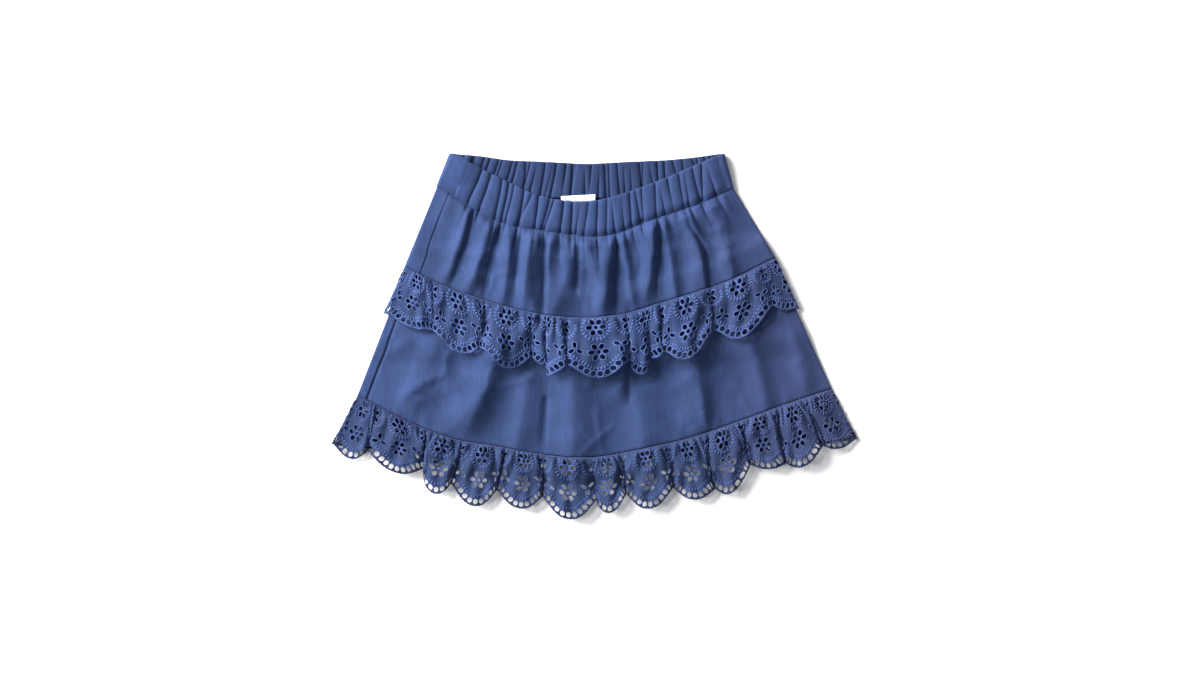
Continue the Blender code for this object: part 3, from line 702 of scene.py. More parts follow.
def back_grid(tier, seam_share, count, reaches):
    """The back from the right fold to the left one, and round it up to the side seam."""
    right = np.linspace(RIGHT_SEAM_TURN, 1, FOLD_STEPS)[:-1]
    under = np.concatenate([right, np.linspace(1, 0, count), np.linspace(0, -1, FOLD_STEPS)[1:]])
    folded = np.linspace(-1, 0, FOLD_STEPS)[1:-1]
    over = np.concatenate([folded, np.linspace(0, seam_share, 4), [seam_share + SEAM_REACH]])
    below = surface(tier, BACK, under[None, :], reaches[:, None])
    above = surface(tier, FRONT, over[None, :], reaches[:, None])
    return np.concatenate([below, above], axis=1)


def band(name, points):
    piece = rolled_piece(name, points, BAND_THICKNESS, poplin)
    print(name, "has", len(piece.data.polygons), "faces")
    return piece


SideSeam = namedtuple("SideSeam", "front back")
BAND_SEAM = SideSeam(0.05, 0.0494)  # shares of the width where the two halves end
BAND_COLUMNS = 420
BAND_ROWS = 18
BAND_TOP = 0.04
BAND_BULGE = 1.7
PAINTED_SHADE_STARTS = -100.0  # across, past which all of the back's upper face gets the painted shade of the casing's inside
PAINTED_SHADE_BELOW = 3.2  # and the height under which it gets that painted shade nearer the fold
down_front = np.linspace(BAND_TOP, 1, BAND_ROWS)
down_back = np.linspace(0, 1, BAND_ROWS)
band_front = band("casing_front", front_grid(BAND, BAND_SEAM.front, BAND_COLUMNS, down_front, BAND_BULGE))
band_back = band("casing_back", back_grid(BAND, BAND_SEAM.back, BAND_COLUMNS, down_back)[:, ::-1])
# Faces of the back casing inside the waist opening take the darker poplin, a painted shade.
band_back.data.materials.append(poplin_painted_shade)
for face in band_back.data.polygons:
    across, _, height = face.center / MILLIMETRE
    face.material_index = int(across > PAINTED_SHADE_STARTS or height < PAINTED_SHADE_BELOW)

# %% [markdown]
# The tiers are single layers of poplin, flared, so they are the same surface at other seams. The
# upper one's front has a grid of about 0.6 by 0.9 mm, fine enough for the gathers under the waist,
# and the lower one's front a grid of about 1.2 mm. The backs lie hidden and are coarser.

# %% Upper and lower tier
CLOTH = 0.5
HEM_TURN = 0.5
HEM_STEPS = (0.35, 0.8, 1.0)
UPPER_SEAM = SideSeam(0.03, 0.0294)
LOWER_SEAM = SideSeam(0.012, 0.0116)
Grid = namedtuple("Grid", "columns rows")


def tier_panel(name, points):
    piece = make_piece(name, points, grid_faces(*points.shape[:2]).tolist(), poplin)
    thicken(piece, CLOTH)
    print(name, "has", len(piece.data.polygons), "faces")
    return piece


def with_turned_hem(points):
    """Lets the cloth's lower edge turn down, as it does over a gathered seam."""
    way = points[-1] - points[-2]
    way = way / np.linalg.norm(way, axis=1, keepdims=True) * HEM_TURN
    rows = [points[-1] + way * s * (1 - 0.4 * s) - np.array([0, 0, HEM_TURN * s * s]) for s in HEM_STEPS]
    return np.concatenate([points, np.array(rows)])


def tier_pair(name, tier, seam, front, back, front_ends):
    """The front and the back of a tier, each with its grid. The front ends a little early."""
    above = front_grid(tier, seam.front, front.columns, np.linspace(0.0, front_ends, front.rows))
    below = back_grid(tier, seam.back, back.columns, np.linspace(0, 1, back.rows))[:, ::-1]
    return tier_panel(f"{name}_front", with_turned_hem(above)), tier_panel(f"{name}_back", below)


upper_front, upper_back = tier_pair("upper_tier", UPPER, UPPER_SEAM, Grid(440, 72), Grid(150, 30), 0.985)
lower_front, lower_back = tier_pair("lower_tier", LOWER, LOWER_SEAM, Grid(300, 90), Grid(150, 40), 0.99)

# %% [markdown]
# Eyelet edging is cotton with holes punched and overcast by a machine, so it repeats exactly, every
# 44 mm. One repeat is drawn flat: a scallop with a ladder of eyelets along its edge, a flower low in
# the scallop and one above it, leaves in threes between the lower flowers, and four leaves crossed
# above each valley. Every hole is an oval, given by its centre, its length and width, and its angle,
# and all but the ladder's stand in rings: a flower is a ring of six round a ring of one.

# %% Flat repeat of the lace
REPEAT = 44.0
VALLEY_DEPTH = 36.0
SAGITTA = 11.0
TIP_FULLNESS = 0.15
TIP_DEPTH = VALLEY_DEPTH + SAGITTA
LADDER_COUNT = 11
LOWER_FLOWER = (REPEAT / 2, TIP_DEPTH - 20.0)
UPPER_FLOWER = (REPEAT / 2, TIP_DEPTH - 39.0)
CROSS = (0.0, UPPER_FLOWER[1] - 0.5)
LEAF_ROW = LOWER_FLOWER[1] - 3.0
LEAVES_APART = 15.0  # from the middle of the repeat
LADDER_INSIDE = 3.2  # from the edge to the middles of its eyelets
LADDER_EYELET = (4.1, 3.6)
Hole = namedtuple("Hole", "u v length width angle")
Ring = namedtuple("Ring", "u v radius count first length width")
RINGS = (
    Ring(*LOWER_FLOWER, 0.0, 1, 0, 2.7, 2.7),
    Ring(*LOWER_FLOWER, 4.7, 6, 30, 4.1, 3.3),
    Ring(*UPPER_FLOWER, 0.0, 1, 0, 2.7, 2.7),
    Ring(*UPPER_FLOWER, 4.7, 6, 30, 4.1, 3.3),
    Ring(REPEAT / 2 + LEAVES_APART, LEAF_ROW, 3.2, 3, 180, 4.2, 2.5),
    Ring(REPEAT / 2 - LEAVES_APART, LEAF_ROW, 3.2, 3, 0, 4.2, 2.5),
    Ring(*CROSS, 3.3, 4, 45, 4.2, 2.5),
)


def scallop(part):
    """0 in the valleys and 1 at the tip: a cosine wave made fuller at the tip."""
    turn = 2 * math.pi * np.asarray(part, float)
    return 0.5 * (1 - np.cos(turn)) + 0.5 * TIP_FULLNESS * (1 - np.cos(2 * turn))


def edge_depth(u):
    """Depth of the scalloped edge below the seam, at a place along the flat lace."""
    return VALLEY_DEPTH + SAGITTA * scallop(np.asarray(u, float) / REPEAT)


def along_edge(place, inside):
    """A place from 0 to 1 along a line this far inside the edge, and the edge's angle there."""
    u = np.linspace(0, REPEAT, 401)
    v = edge_depth(u)
    angle = np.arctan2(-np.gradient(v, u), 1.0)
    line_u, line_v = u - inside * np.sin(angle), v - inside * np.cos(angle)
    walked = np.concatenate(([0], np.cumsum(np.hypot(np.diff(line_u), np.diff(line_v)))))
    share = walked / walked[-1]
    return tuple(float(np.interp(place, share, line)) for line in (line_u, line_v, angle))


def repeat_holes():
    holes = []
    for i in range(LADDER_COUNT):
        u, v, angle = along_edge((i + 0.5) / LADDER_COUNT, LADDER_INSIDE)
        holes.append(Hole(u, v, *LADDER_EYELET, -angle))
    for ring in RINGS:
        for i in range(ring.count):
            turn = math.radians(ring.first + 360 / ring.count * i)
            u = (ring.u + ring.radius * math.sin(turn)) % REPEAT
            v = ring.v - ring.radius * math.cos(turn)
            holes.append(Hole(u, v, ring.length, ring.width, turn))
    return holes


HOLES = repeat_holes()


OVAL_POWER = 0.9  # 1 is an ellipse, and less is squarer


def oval(hole, count, grow=0.0):
    """Outline of a hole, a little squarer than an ellipse."""
    t = np.linspace(0, 2 * math.pi, count, endpoint=False)
    c, s = np.cos(t), np.sin(t)
    long = (hole.length / 2 + grow) * np.sign(c) * np.abs(c) ** OVAL_POWER
    wide = (hole.width / 2 + grow) * np.sign(s) * np.abs(s) ** OVAL_POWER
    u = hole.u + long * math.sin(hole.angle) + wide * math.cos(hole.angle)
    v = hole.v - long * math.cos(hole.angle) + wide * math.sin(hole.angle)
    return np.stack([u, v], axis=1)


print("holes in one repeat:", len(HOLES))

# %% [markdown]
# The cloth between the holes is a triangulated sheet. A Boolean would cut each hole, but it is slow
# and leaves long thin faces, so the outline, the holes and a grid of points go through a constrained
# Delaunay triangulation, and the triangles that fall in a hole are left out. Both side edges have
# their points at the same depths, so repeats join without a gap.

# %% Triangulate one repeat
def inside_any(points, outlines):
    """Which points lie in one of the outlines, by crossings of a ray."""
    found = np.zeros(len(points), bool)
    for outline in outlines:
        a, b = outline, np.roll(outline, -1, axis=0)
        level = (a[None, :, 1] > points[:, None, 1]) != (b[None, :, 1] > points[:, None, 1])
        slope = (b[:, 0] - a[:, 0]) / np.where(b[:, 1] == a[:, 1], 1e-9, b[:, 1] - a[:, 1])
        crossing = a[None, :, 0] + (points[:, None, 1] - a[None, :, 1]) * slope[None, :]
        found |= (level & (points[:, None, 0] < crossing)).sum(axis=1) % 2 == 1
    return found


LaceGrid = namedtuple("LaceGrid", "step_u step_v around")
FINE = LaceGrid(1.1, 1.6, 14)
COARSE = LaceGrid(2.2, 3.0, 8)  # for the hidden side
PICOT = 0.5
INSIDE_ONLY = 1  # what the triangulation is to keep
MERGED = 1e-5


def lace_repeat(step_u, step_v, around):
    """Points (u, v) and triangles of one repeat of the lace."""
    rows = np.linspace(0, VALLEY_DEPTH, round(VALLEY_DEPTH / step_v) + 1)
    places = 4 * LADDER_COUNT
    arc = []
    for i in range(places + 1):
        u, v, _ = along_edge(i / places, -PICOT if i % 2 else 0.0)
        arc.append((u, v))
    arc[0], arc[-1] = (0.0, VALLEY_DEPTH), (REPEAT, VALLEY_DEPTH)
    top = np.linspace(REPEAT, 0, round(REPEAT / step_u) + 1)
    left = [(0.0, v) for v in rows[:-1]]
    right = [(REPEAT, v) for v in rows[-2:0:-1]]
    border = np.array(left + arc + right + [(u, 0.0) for u in top[:-1]])
    cut = [oval(hole, around) for hole in HOLES]
    keep_out = [oval(hole, around, 0.55 * min(step_u, 1.2)) for hole in HOLES]
    u, v = np.meshgrid(np.arange(step_u, REPEAT - step_u / 2, step_u), np.arange(step_v, TIP_DEPTH, step_v))
    u = u + np.where(np.arange(u.shape[0])[:, None] % 2, step_u / 4, -step_u / 4)
    spots = np.stack([u.ravel(), v.ravel()], axis=1)
    spots = spots[spots[:, 1] < edge_depth(spots[:, 0]) - 0.8 * step_v]
    spots = spots[~inside_any(spots, keep_out)]
    points = np.concatenate([border] + cut + [spots])
    edges = [(i, (i + 1) % len(border)) for i in range(len(border))]
    start = len(border)
    for outline in cut:
        edges += [(start + i, start + (i + 1) % len(outline)) for i in range(len(outline))]
        start += len(outline)
    made = delaunay_2d_cdt([Vector(p) for p in points], edges, [], INSIDE_ONLY, MERGED)
    found = np.array([tuple(p) for p in made[0]])
    triangles = np.array([face for face in made[2] if len(face) == 3])
    middles = found[triangles].mean(axis=1)
    keep = inside_any(middles, [border]) & ~inside_any(middles, cut)
    return found, triangles[keep]


FLAT_LACE = {grid: lace_repeat(*grid) for grid in (FINE, COARSE)}
for flat_points, flat_triangles in FLAT_LACE.values():
    print("one repeat:", len(flat_points), "points,", len(flat_triangles), "triangles")


# %% [markdown]
# A ruffle is longer than the seam it is gathered to. Near the seam the spare cloth stands in small
# puckers, and towards the edge they join into one broad flute for each fold. A flute's section is a
# flattened arch with steep sides: its crown shows the lace at nearly its true scale, and its flanks
# take up the cloth that is left over. Each row below is one flute, from the valley at its left.

# %% Flutes of the two ruffles
Flute = namedtuple("Flute", "repeat seam_across across down start drop height lean")

MIDDLE_FLUTES = (
    Flute(0.0, -150, -166, 125, 125, 4, 1.5, 0.00),
    Flute(1.0, -129, -129, 139, 139, 10, 2.2, 0.03),
    Flute(2.0, -90, -89, 153, 153, 12, 3.2, -0.02),
    Flute(3.0, -50, -49, 160, 160, 2, 3.2, 0.00),
    Flute(3.5, -38, -38, 166, 175, 1, 6.0, -0.06),
    Flute(4.0, -25, -21, 166, 166, 12, 6.0, 0.02),
    Flute(5.0, 26, 30, 162, 169, 4, 6.0, -0.06),
    Flute(5.6, 43, 45, 170, 160, 2, 4.0, 0.02),
    Flute(6.0, 52, 56, 156, 156, 13, 5.0, 0.03),
    Flute(7.0, 92, 96, 139, 139, 15, 3.0, 0.04),
    Flute(8.0, 134, 143, 119, 119, 3, 2.0, 0.00),
    Flute(8.5, 143, 161, 121, 121, 0, 0.0, 0.00),
)
HEM_FLUTES = (
    Flute(0.0, -187, -207, 228, 228, 9, 3.0, 0.02),
    Flute(1.0, -173, -180, 233, 233, 10, 4.0, 0.03),
    Flute(2.0, -135, -135, 247, 259, 8, 6.0, -0.04),
    Flute(3.0, -104, -113, 259, 259, 15, 5.0, 0.02),
    Flute(4.0, -71, -77, 264, 264, 12, 5.0, 0.03),
    Flute(5.0, -41, -41, 269, 269, 17, 6.0, -0.02),
    Flute(6.0, -2, 2, 271, 276, 10, 6.5, -0.05),
    Flute(7.0, 21, 25, 267, 267, 14, 6.0, 0.02),
    Flute(8.0, 58, 62, 262, 262, 9, 5.0, 0.03),
    Flute(9.0, 86, 95, 263, 263, 12, 5.0, -0.02),
    Flute(10.0, 115, 123, 244, 244, 4, 4.0, 0.02),
    Flute(11.0, 143, 151, 243, 243, 9, 5.0, 0.03),
    Flute(12.0, 165, 181, 229, 229, 5, 3.0, 0.00),
    Flute(13.0, 187, 207, 224, 224, 0, 0.0, 0.00),
)
CROWN_POWER = 3.2
SHOULDER_POWER = 1.7
FLUTE_FULLNESS = 1.35
FLANK_BELOW = 0.75  # shares of a flute's height where its flanks can take up spare cloth
OUTLINE_POWER = 2.3
FOLD_LENGTH = 3.0  # of the lace that goes round a side fold
PUCKERS_IN_REPEAT = 6.5
PUCKER_SHIFT = 2.5
PUCKER_DEPTHS = (0.5, 1.25)
PUCKER_TAILS = (6, 20)
CRUMPLE_SEED = 21
CRUMPLE_WAVES = 9
CRUMPLE_LENGTHS = (8, 24)
CRUMPLE_LEAN = 0.35
CRUMPLE = 0.32


def flute_section(width, height, cloth):
    """Shares of the flat cloth, and where each comes to lie across the flute and up it."""
    angle = np.linspace(math.pi, 0, 241)
    x = 0.5 + 0.5 * np.sign(np.cos(angle)) * np.abs(np.cos(angle)) ** (2 / CROWN_POWER)
    z = np.abs(np.sin(angle)) ** (2 / SHOULDER_POWER)
    step = np.hypot(np.diff(x) * width, np.diff(z) * height)
    flank = 0.5 * (z[1:] + z[:-1]) < FLANK_BELOW
    spare = max(cloth - step[~flank].sum(), step[flank].sum())
    step[flank] *= spare / step[flank].sum()
    walked = np.concatenate(([0], np.cumsum(step)))
    return walked / walked[-1], x, z


def outline_bulge(part, softness=0.0):
    """How far the edge hangs below its valleys: an arch, or a wave where the lace lies flat."""
    return mix(1 - np.abs(2 * part - 1) ** OUTLINE_POWER, scallop(part), softness)


Ruffle = namedtuple("Ruffle", "flutes seam layers_under softness puckers")


def pucker_table(seed, repeats):
    """Small valleys along the gathered seam: place on the flat lace, depth and tail."""
    draw = np.random.default_rng(seed)
    count = round(repeats * PUCKERS_IN_REPEAT)
    even = (np.arange(count) + 0.5) / count * repeats * REPEAT
    places = even + draw.uniform(-PUCKER_SHIFT, PUCKER_SHIFT, count)
    return places, draw.uniform(*PUCKER_DEPTHS, count), draw.uniform(*PUCKER_TAILS, count)


MIDDLE_REPEATS = MIDDLE_FLUTES[-1].repeat
HEM_REPEATS = HEM_FLUTES[-1].repeat
MIDDLE = Ruffle(MIDDLE_FLUTES, MIDDLE_SEAM_FRONT, 1, 0.85, pucker_table(11, MIDDLE_REPEATS))
HEM = Ruffle(HEM_FLUTES, HEM_SEAM_FRONT, 0, 0.3, pucker_table(12, HEM_REPEATS))


def crumple(u, v):
    """Low uneven waves all over the lace, longer down it than across it."""
    draw = np.random.default_rng(CRUMPLE_SEED)
    waves = np.zeros_like(u)
    for _ in range(CRUMPLE_WAVES):
        wavelength = draw.uniform(*CRUMPLE_LENGTHS)
        lean, phase = draw.normal(0, CRUMPLE_LEAN), draw.uniform(0, 2 * math.pi)
        waves += np.sin(2 * math.pi / wavelength * (u + lean * v) + phase)
    return CRUMPLE * (waves + CRUMPLE_WAVES / 3)


def flute_places(ruffle, u):
    """Where flat places u lie: turn, and across the seam and the edge, and the wave over them."""
    n = len(ruffle.flutes) - 1
    whole = ruffle.flutes[-1].repeat * REPEAT
    turn = np.zeros_like(u)
    turn = np.where(u < FOLD_LENGTH, u / FOLD_LENGTH - 1, turn)
    turn = np.where(u > whole - FOLD_LENGTH, 2 - (whole - u) / FOLD_LENGTH, turn)
    seam_across, edge_across, edge_down, rise = (np.zeros_like(u) for _ in range(4))
    soft_across = np.zeros_like(u)
    for i in range(n):
        left, right = ruffle.flutes[i], ruffle.flutes[i + 1]
        first = left.repeat * REPEAT + (FOLD_LENGTH if i == 0 else 0)
        last = right.repeat * REPEAT - (FOLD_LENGTH if i == n - 1 else 0)
        mine = (u >= left.repeat * REPEAT) & (u <= right.repeat * REPEAT)
        part = np.clip((u[mine] - first) / (last - first), 0, 1)
        walked, x, z = flute_section(right.across - left.across, left.height, last - first)
        over = np.interp(part, walked, x)
        up = np.interp(part, walked, z)
        over = over + left.lean * up * np.minimum(1, 4 * part * (1 - part) + 0.3)
        start = mix(left.down, left.start, ramp(up, 0.1, 0.8))
        bulge = outline_bulge(np.clip(over, 0, 1), ruffle.softness)
        edge_down[mine] = mix(start, right.down, over) + left.drop * bulge
        edge_across[mine] = mix(left.across, right.across, over)
        soft_across[mine] = mix(left.seam_across, right.seam_across, part)
        seam_across[mine] = mix(left.seam_across, right.seam_across, over)
        rise[mine] = up * left.height * FLUTE_FULLNESS * mix(0.75, 1.1, over)
    return turn, seam_across, soft_across, edge_across, edge_down, rise


def side_radii(ends, down, layers_under):
    """Half the height between the floor and the ruffle at its two side folds."""
    levels = [lower_front_height(np.full_like(down, end), down) for end in ends]
    return [(level + (LAYER + RUFFLE_ROOM) * layers_under - FLOOR_LAYER) / 2 for level in levels]


# The lace puffs up between its puckers just below the seam, in mm.
PUFF = 2.8
PUFF_GROWS = (-1, 3)
PUFF_FADES = (10, 30)
FLAT_PUFF = 0.4
PUCKER_SHARE = 0.85
PUCKER_LIMIT = 1.2
PUCKER_WIDTH = 1.5
PUCKER_WIDENS = 0.09
PUCKER_POWER = 1.5
GATHERING_ENDS = 0.45  # share of the depth below which the lace follows its flutes
SEAM_FULLNESS = 0.25
STITCHED_DOWN = (-1.2, 3)


def pucker_grooves(ruffle, u, v):
    groove = np.zeros_like(u)
    spread = PUCKER_WIDTH + PUCKER_WIDENS * v
    for place, depth, tail in zip(*ruffle.puckers):
        away = np.abs((u - place) / spread) ** PUCKER_POWER
        groove += depth * np.exp(-away - (v / tail) ** PUCKER_POWER)
    return groove


def lace_surface(ruffle, u, v):
    """Points of a ruffle of the front at flat places, v below its seam."""
    turn, seam_across, soft_across, edge_across, edge_down, rise = flute_places(ruffle, u)
    depth = edge_depth(u)
    up_share = np.clip(1 - v / depth, -0.1, 1)
    top_across = mix(soft_across, seam_across, ramp(1 - up_share, 0.0, GATHERING_ENDS))
    top_down = seam_down(ruffle.seam, top_across)
    true_depth = np.hypot(edge_down - top_down, edge_across - top_across)
    scale = true_depth / depth
    from_edge = (depth - v) * (1 + (scale - 1) * np.sqrt(np.clip(up_share, 0, 1)))
    reach = 1 - from_edge / true_depth
    across = mix(top_across, edge_across, reach)
    down = mix(top_down, edge_down, reach)
    share = share_of(ruffle.seam, top_across)
    fullness = mix(SEAM_FULLNESS, 1.0, np.clip(reach, 0, 1.05) ** 0.7)
    puff = FLAT_PUFF + PUFF * ramp(v, *PUFF_GROWS) * (1 - ramp(v, *PUFF_FADES))
    puff = puff * (1 - PUCKER_SHARE * np.minimum(pucker_grooves(ruffle, u, v), PUCKER_LIMIT))
    relief = (rise * fullness + puff + crumple(u, v)) * side_fade(share) * ramp(v, *STITCHED_DOWN)
    level = lower_front_height(across, down) + (LAYER + RUFFLE_ROOM) * ruffle.layers_under
    ends = (ruffle.flutes[0].across, ruffle.flutes[-1].across)
    radii = side_radii(ends, down, ruffle.layers_under)
    across, height = turned(FRONT, turn, share, across, level + relief, *radii)
    return np.stack([across, CENTRE_DOWN - down, height], axis=-1)


def raised(place_on, u, v, w):
    """Points at a height w above a surface, along its normal."""
    step = 0.15
    here = place_on(u, v)
    along = place_on(u + step, v) - here
    down = place_on(u, v + step) - here
    normal = np.cross(down, along)
    normal = normal / np.maximum(np.linalg.norm(normal, axis=-1, keepdims=True), 1e-9)
    return here + normal * w[..., None]


print("flutes:", len(MIDDLE_FLUTES) - 1, "in the middle and", len(HEM_FLUTES) - 1, "at the hem")

# %% [markdown]
# The back has the same lace, but it lies under the skirt and its waves are pressed nearly flat, so
# its flat places go straight to shares of its own seam and edge.

# %% Ruffles of the back
BackRuffle = namedtuple("BackRuffle", "repeats seam edge layers_under")
MIDDLE_UNDER = BackRuffle(9, MIDDLE_SEAM_BACK, MIDDLE_EDGE_BACK, 1)
HEM_UNDER = BackRuffle(13, HEM_SEAM_BACK, HEM_EDGE_BACK, 0)
UNDER_FOLD_LENGTH = 7.0
UNDER_RIPPLE = 9.5  # flat lace from one pressed pucker to the next
RIPPLE_WANDER = 31
SHORT_DROP = 0.1  # share of the drop that is left at a side fold
DROP_GROWS = (0.05, 0.11)


def under_surface(ruffle, u, v):
    whole = ruffle.repeats * REPEAT
    turn = np.where(u > whole - UNDER_FOLD_LENGTH, 2 - (whole - u) / UNDER_FOLD_LENGTH, 0.5)
    turn = np.where(u < UNDER_FOLD_LENGTH, u / UNDER_FOLD_LENGTH - 1, turn)
    share = np.clip((u - UNDER_FOLD_LENGTH) / (whole - 2 * UNDER_FOLD_LENGTH), 0, 1)
    part = share * ruffle.repeats % 1.0
    reach = v / edge_depth(u)
    top = on_seam(ruffle.seam, share)
    bottom = on_seam(ruffle.edge, share)
    across = mix(top[0], bottom[0], reach)
    drop = BACK_DROP * mix(SHORT_DROP, 1.0, ramp(share, *DROP_GROWS) * ramp(1 - share, *DROP_GROWS))
    down = mix(top[1], bottom[1] + drop * outline_bulge(part), reach)
    wave = BACK_WAVE * (1 - np.abs(2 * part - 1) ** 3) * mix(0.25, 1, np.clip(reach, 0, 1) ** 0.7)
    ripple = 1 + np.sin(2 * math.pi * u / UNDER_RIPPLE + 1.3 * np.sin(u / RIPPLE_WANDER))
    wave = 0.6 * wave + 0.75 * ripple * mix(1.0, 0.7, np.clip(reach, 0, 1))
    height = FLOOR_LAYER + wave * side_fade(share)
    radii = side_radii((ruffle.edge.left_across, ruffle.edge.right_across), down, ruffle.layers_under)
    across, height = turned(BACK, turn, share, across, height, *radii)
    return np.stack([across, CENTRE_DOWN - down, height], axis=-1)


print("flat length of the hem ruffle, front and back:", 2 * HEM_UNDER.repeats * REPEAT, "mm")

# %% [markdown]
# Now the repeat is laid out along each ruffle. Its points are copied once for each 44 mm, the seams
# between copies are merged by place, and the whole strip is mapped at once.

# %% Lay the lace
LACE_CLOTH = 0.45
Strip = namedtuple("Strip", "ruffle side repeats place_on cloth thread grid")
STRIPS = (
    Strip("middle", "front", MIDDLE_REPEATS, partial(lace_surface, MIDDLE), lace_cloth, thread, FINE),
    Strip("hem", "front", HEM_REPEATS, partial(lace_surface, HEM), hem_lace_cloth, hem_thread, FINE),
    Strip("middle", "back", 9, partial(under_surface, MIDDLE_UNDER), lace_cloth, thread, COARSE),
    Strip("hem", "back", 13, partial(under_surface, HEM_UNDER), hem_lace_cloth, hem_thread, COARSE),
)


def strip_of(points, triangles, repeats):
    """The repeat copied along the strip, with the points on each join shared."""
    copies = math.ceil(repeats)
    strip = np.concatenate([points + (REPEAT * i, 0) for i in range(copies)])
    faces = np.concatenate([triangles + len(points) * i for i in range(copies)])
    key = np.round(strip, 3)
    _, first, same = np.unique(key, axis=0, return_index=True, return_inverse=True)
    strip = strip[first]
    faces = same.reshape(-1)[faces]
    middles = strip[faces][:, :, 0].max(axis=1)
    return strip, faces[middles <= repeats * REPEAT + 1e-3]


def lay_lace(strip):
    name = f"{strip.ruffle}_ruffle_{strip.side}"
    points, faces = strip_of(*FLAT_LACE[strip.grid], strip.repeats)
    laid = strip.place_on(points[:, 0], points[:, 1])
    piece = make_piece(name, laid, faces[:, ::-1].tolist(), strip.cloth)
    thicken(piece, LACE_CLOTH)
    print(name, "has", len(faces), "triangles on each side")
    return piece


middle_front, hem_front, middle_back, hem_back = (lay_lace(strip) for strip in STRIPS)

# %% [markdown]
# The embroidery lies on the cloth: an overcast rim round every hole, a row of short satin teeth
# above the ladder, half rings of longer stitches below each upper flower and cross, and the corded
# outer edge. Rims are small half-round hoops and stitches are small ridges, all made flat as one
# repeat and mapped like the cloth, so each follows its flute.

# %% Embroidery of one repeat
RIM_WIDTH = 0.85
RIM_HEIGHT = 0.6
RIM_PROFILE = ((-0.08, 0.05), (0.12, 0.8 * RIM_HEIGHT), (0.5 * RIM_WIDTH, RIM_HEIGHT), (RIM_WIDTH, 0.15))
Satin = namedtuple("Satin", "length width height")
EdgeRow = namedtuple("EdgeRow", "count inside satin")
EDGE_ROWS = (
    EdgeRow(22, 7.4, Satin(2.8, 1.3, 0.8)),
    EdgeRow(44, 0.55, Satin(1.3, 0.9, 0.6)),
)
HalfRing = namedtuple("HalfRing", "u v radius count first last")
HALF_RINGS = (
    HalfRing(*UPPER_FLOWER, 9.2, 17, 52, 308),
    HalfRing(0.5, CROSS[1], 8.2, 7, 172, 80),
    HalfRing(REPEAT - 0.5, CROSS[1], 8.2, 7, 188, 280),
)
RING_SATIN = Satin(3.2, 1.5, 0.9)
CLEAR_OF_SEAM = 0.8


def rim_mesh(around):
    """Hoops round the holes: (u, v, w) points and quads."""
    points, faces = [], []
    for hole in HOLES:
        base = sum(len(p) for p in points)
        for grow, height in RIM_PROFILE:
            outline = oval(hole, around, grow)
            points.append(np.column_stack([outline, np.full(around, height)]))
        for ring in range(len(RIM_PROFILE) - 1):
            for i in range(around):
                a = base + ring * around + i
                b = base + ring * around + (i + 1) % around
                faces.append((a, b, b + around, a + around))
    return np.concatenate(points), faces


def stitch(u, v, angle, length, width, height):
    """One satin stitch as a small roof with tapered ends."""
    along = np.array([math.sin(angle), -math.cos(angle)])
    side = np.array([along[1], -along[0]])
    centre = np.array([u, v])
    points = [(*(centre - along * length / 2), 0.1), (*(centre + along * length / 2), 0.1)]
    for reach in (-0.3, 0.3):
        for across, lift in ((-0.5, 0.05), (0, height), (0.5, 0.05)):
            points.append((*(centre + along * length * reach + side * width * across), lift))
    faces = [(0, 2, 3), (0, 3, 4), (2, 5, 6, 3), (3, 6, 7, 4), (5, 1, 6), (6, 1, 7)]
    return points, faces


def stitch_mesh():
    """Teeth, half rings and the outer cord's stitches of one repeat."""
    points, faces = [], []

    def place(u, v, angle, satin):
        made, joined = stitch(u, v, angle, *satin)
        faces.extend(tuple(corner + len(points) for corner in face) for face in joined)
        points.extend(made)

    for row in EDGE_ROWS:
        for i in range(row.count):
            u, v, angle = along_edge((i + 0.5) / row.count, row.inside)
            place(u, v, -angle, row.satin)
    for ring in HALF_RINGS:
        for i in range(ring.count):
            turn = math.radians(mix(ring.first, ring.last, i / (ring.count - 1)))
            u = ring.u + ring.radius * math.sin(turn)
            v = ring.v - ring.radius * math.cos(turn)
            if v > CLEAR_OF_SEAM:
                place(u, v, turn, RING_SATIN)
    return np.array(points), faces


flat_stitches = stitch_mesh()
print("stitches in one repeat:", len(flat_stitches[0]) // 8)

# %% [markdown]
# The embroidery is copied along each ruffle and raised off the cloth. The back's ruffles get only
# their rims, since they lie hidden. What would stick out past either end of a strip is left out. At
# the hem, all embroidery near the edge is darker cord.

# %% Lay the embroidery
END_ROOM = 0.3
SUNK = 0.05  # how deep the embroidery sits in the cloth
CORD_WIDTH = 5.6  # from the hem's edge inwards


def embroider(strip, kind, points, faces):
    """Copies flat embroidery along a ruffle and lays it on the cloth."""
    name = f"{strip.ruffle}_{kind}_{strip.side}"
    copies = range(math.ceil(strip.repeats))
    all_points = np.concatenate([points + (REPEAT * i, 0, 0) for i in copies])
    all_faces = [tuple(c + len(points) * i for c in face) for i in copies for face in faces]
    limit = strip.repeats * REPEAT - END_ROOM
    whole = (all_points[:, 0] > END_ROOM) & (all_points[:, 0] < limit)
    all_faces = [face for face in all_faces if all(whole[c] for c in face)]
    used = np.unique(np.concatenate([np.array(face) for face in all_faces]))
    renumber = np.full(len(all_points), -1)
    renumber[used] = np.arange(len(used))
    all_faces = [[int(renumber[c]) for c in face] for face in all_faces]
    u, v, w = all_points[used].T
    where = raised(strip.place_on, u, v, w + LACE_CLOTH / 2 - SUNK)
    piece = make_piece(name, where, all_faces, strip.thread, edge_cord)
    if strip.ruffle == "hem":
        inside = edge_depth(u) - v
        at_edge = [inside[face].mean() < CORD_WIDTH for face in all_faces]
        piece.data.polygons.foreach_set("material_index", np.array(at_edge, dtype=np.int32))
    print(name, "has", len(all_faces), "faces")
    return piece


embroidery = []
for strip in STRIPS:
    embroidery.append(embroider(strip, "rims", *rim_mesh(strip.grid.around)))
    if strip.side == "front":
        embroidery.append(embroider(strip, "stitches", *flat_stitches))

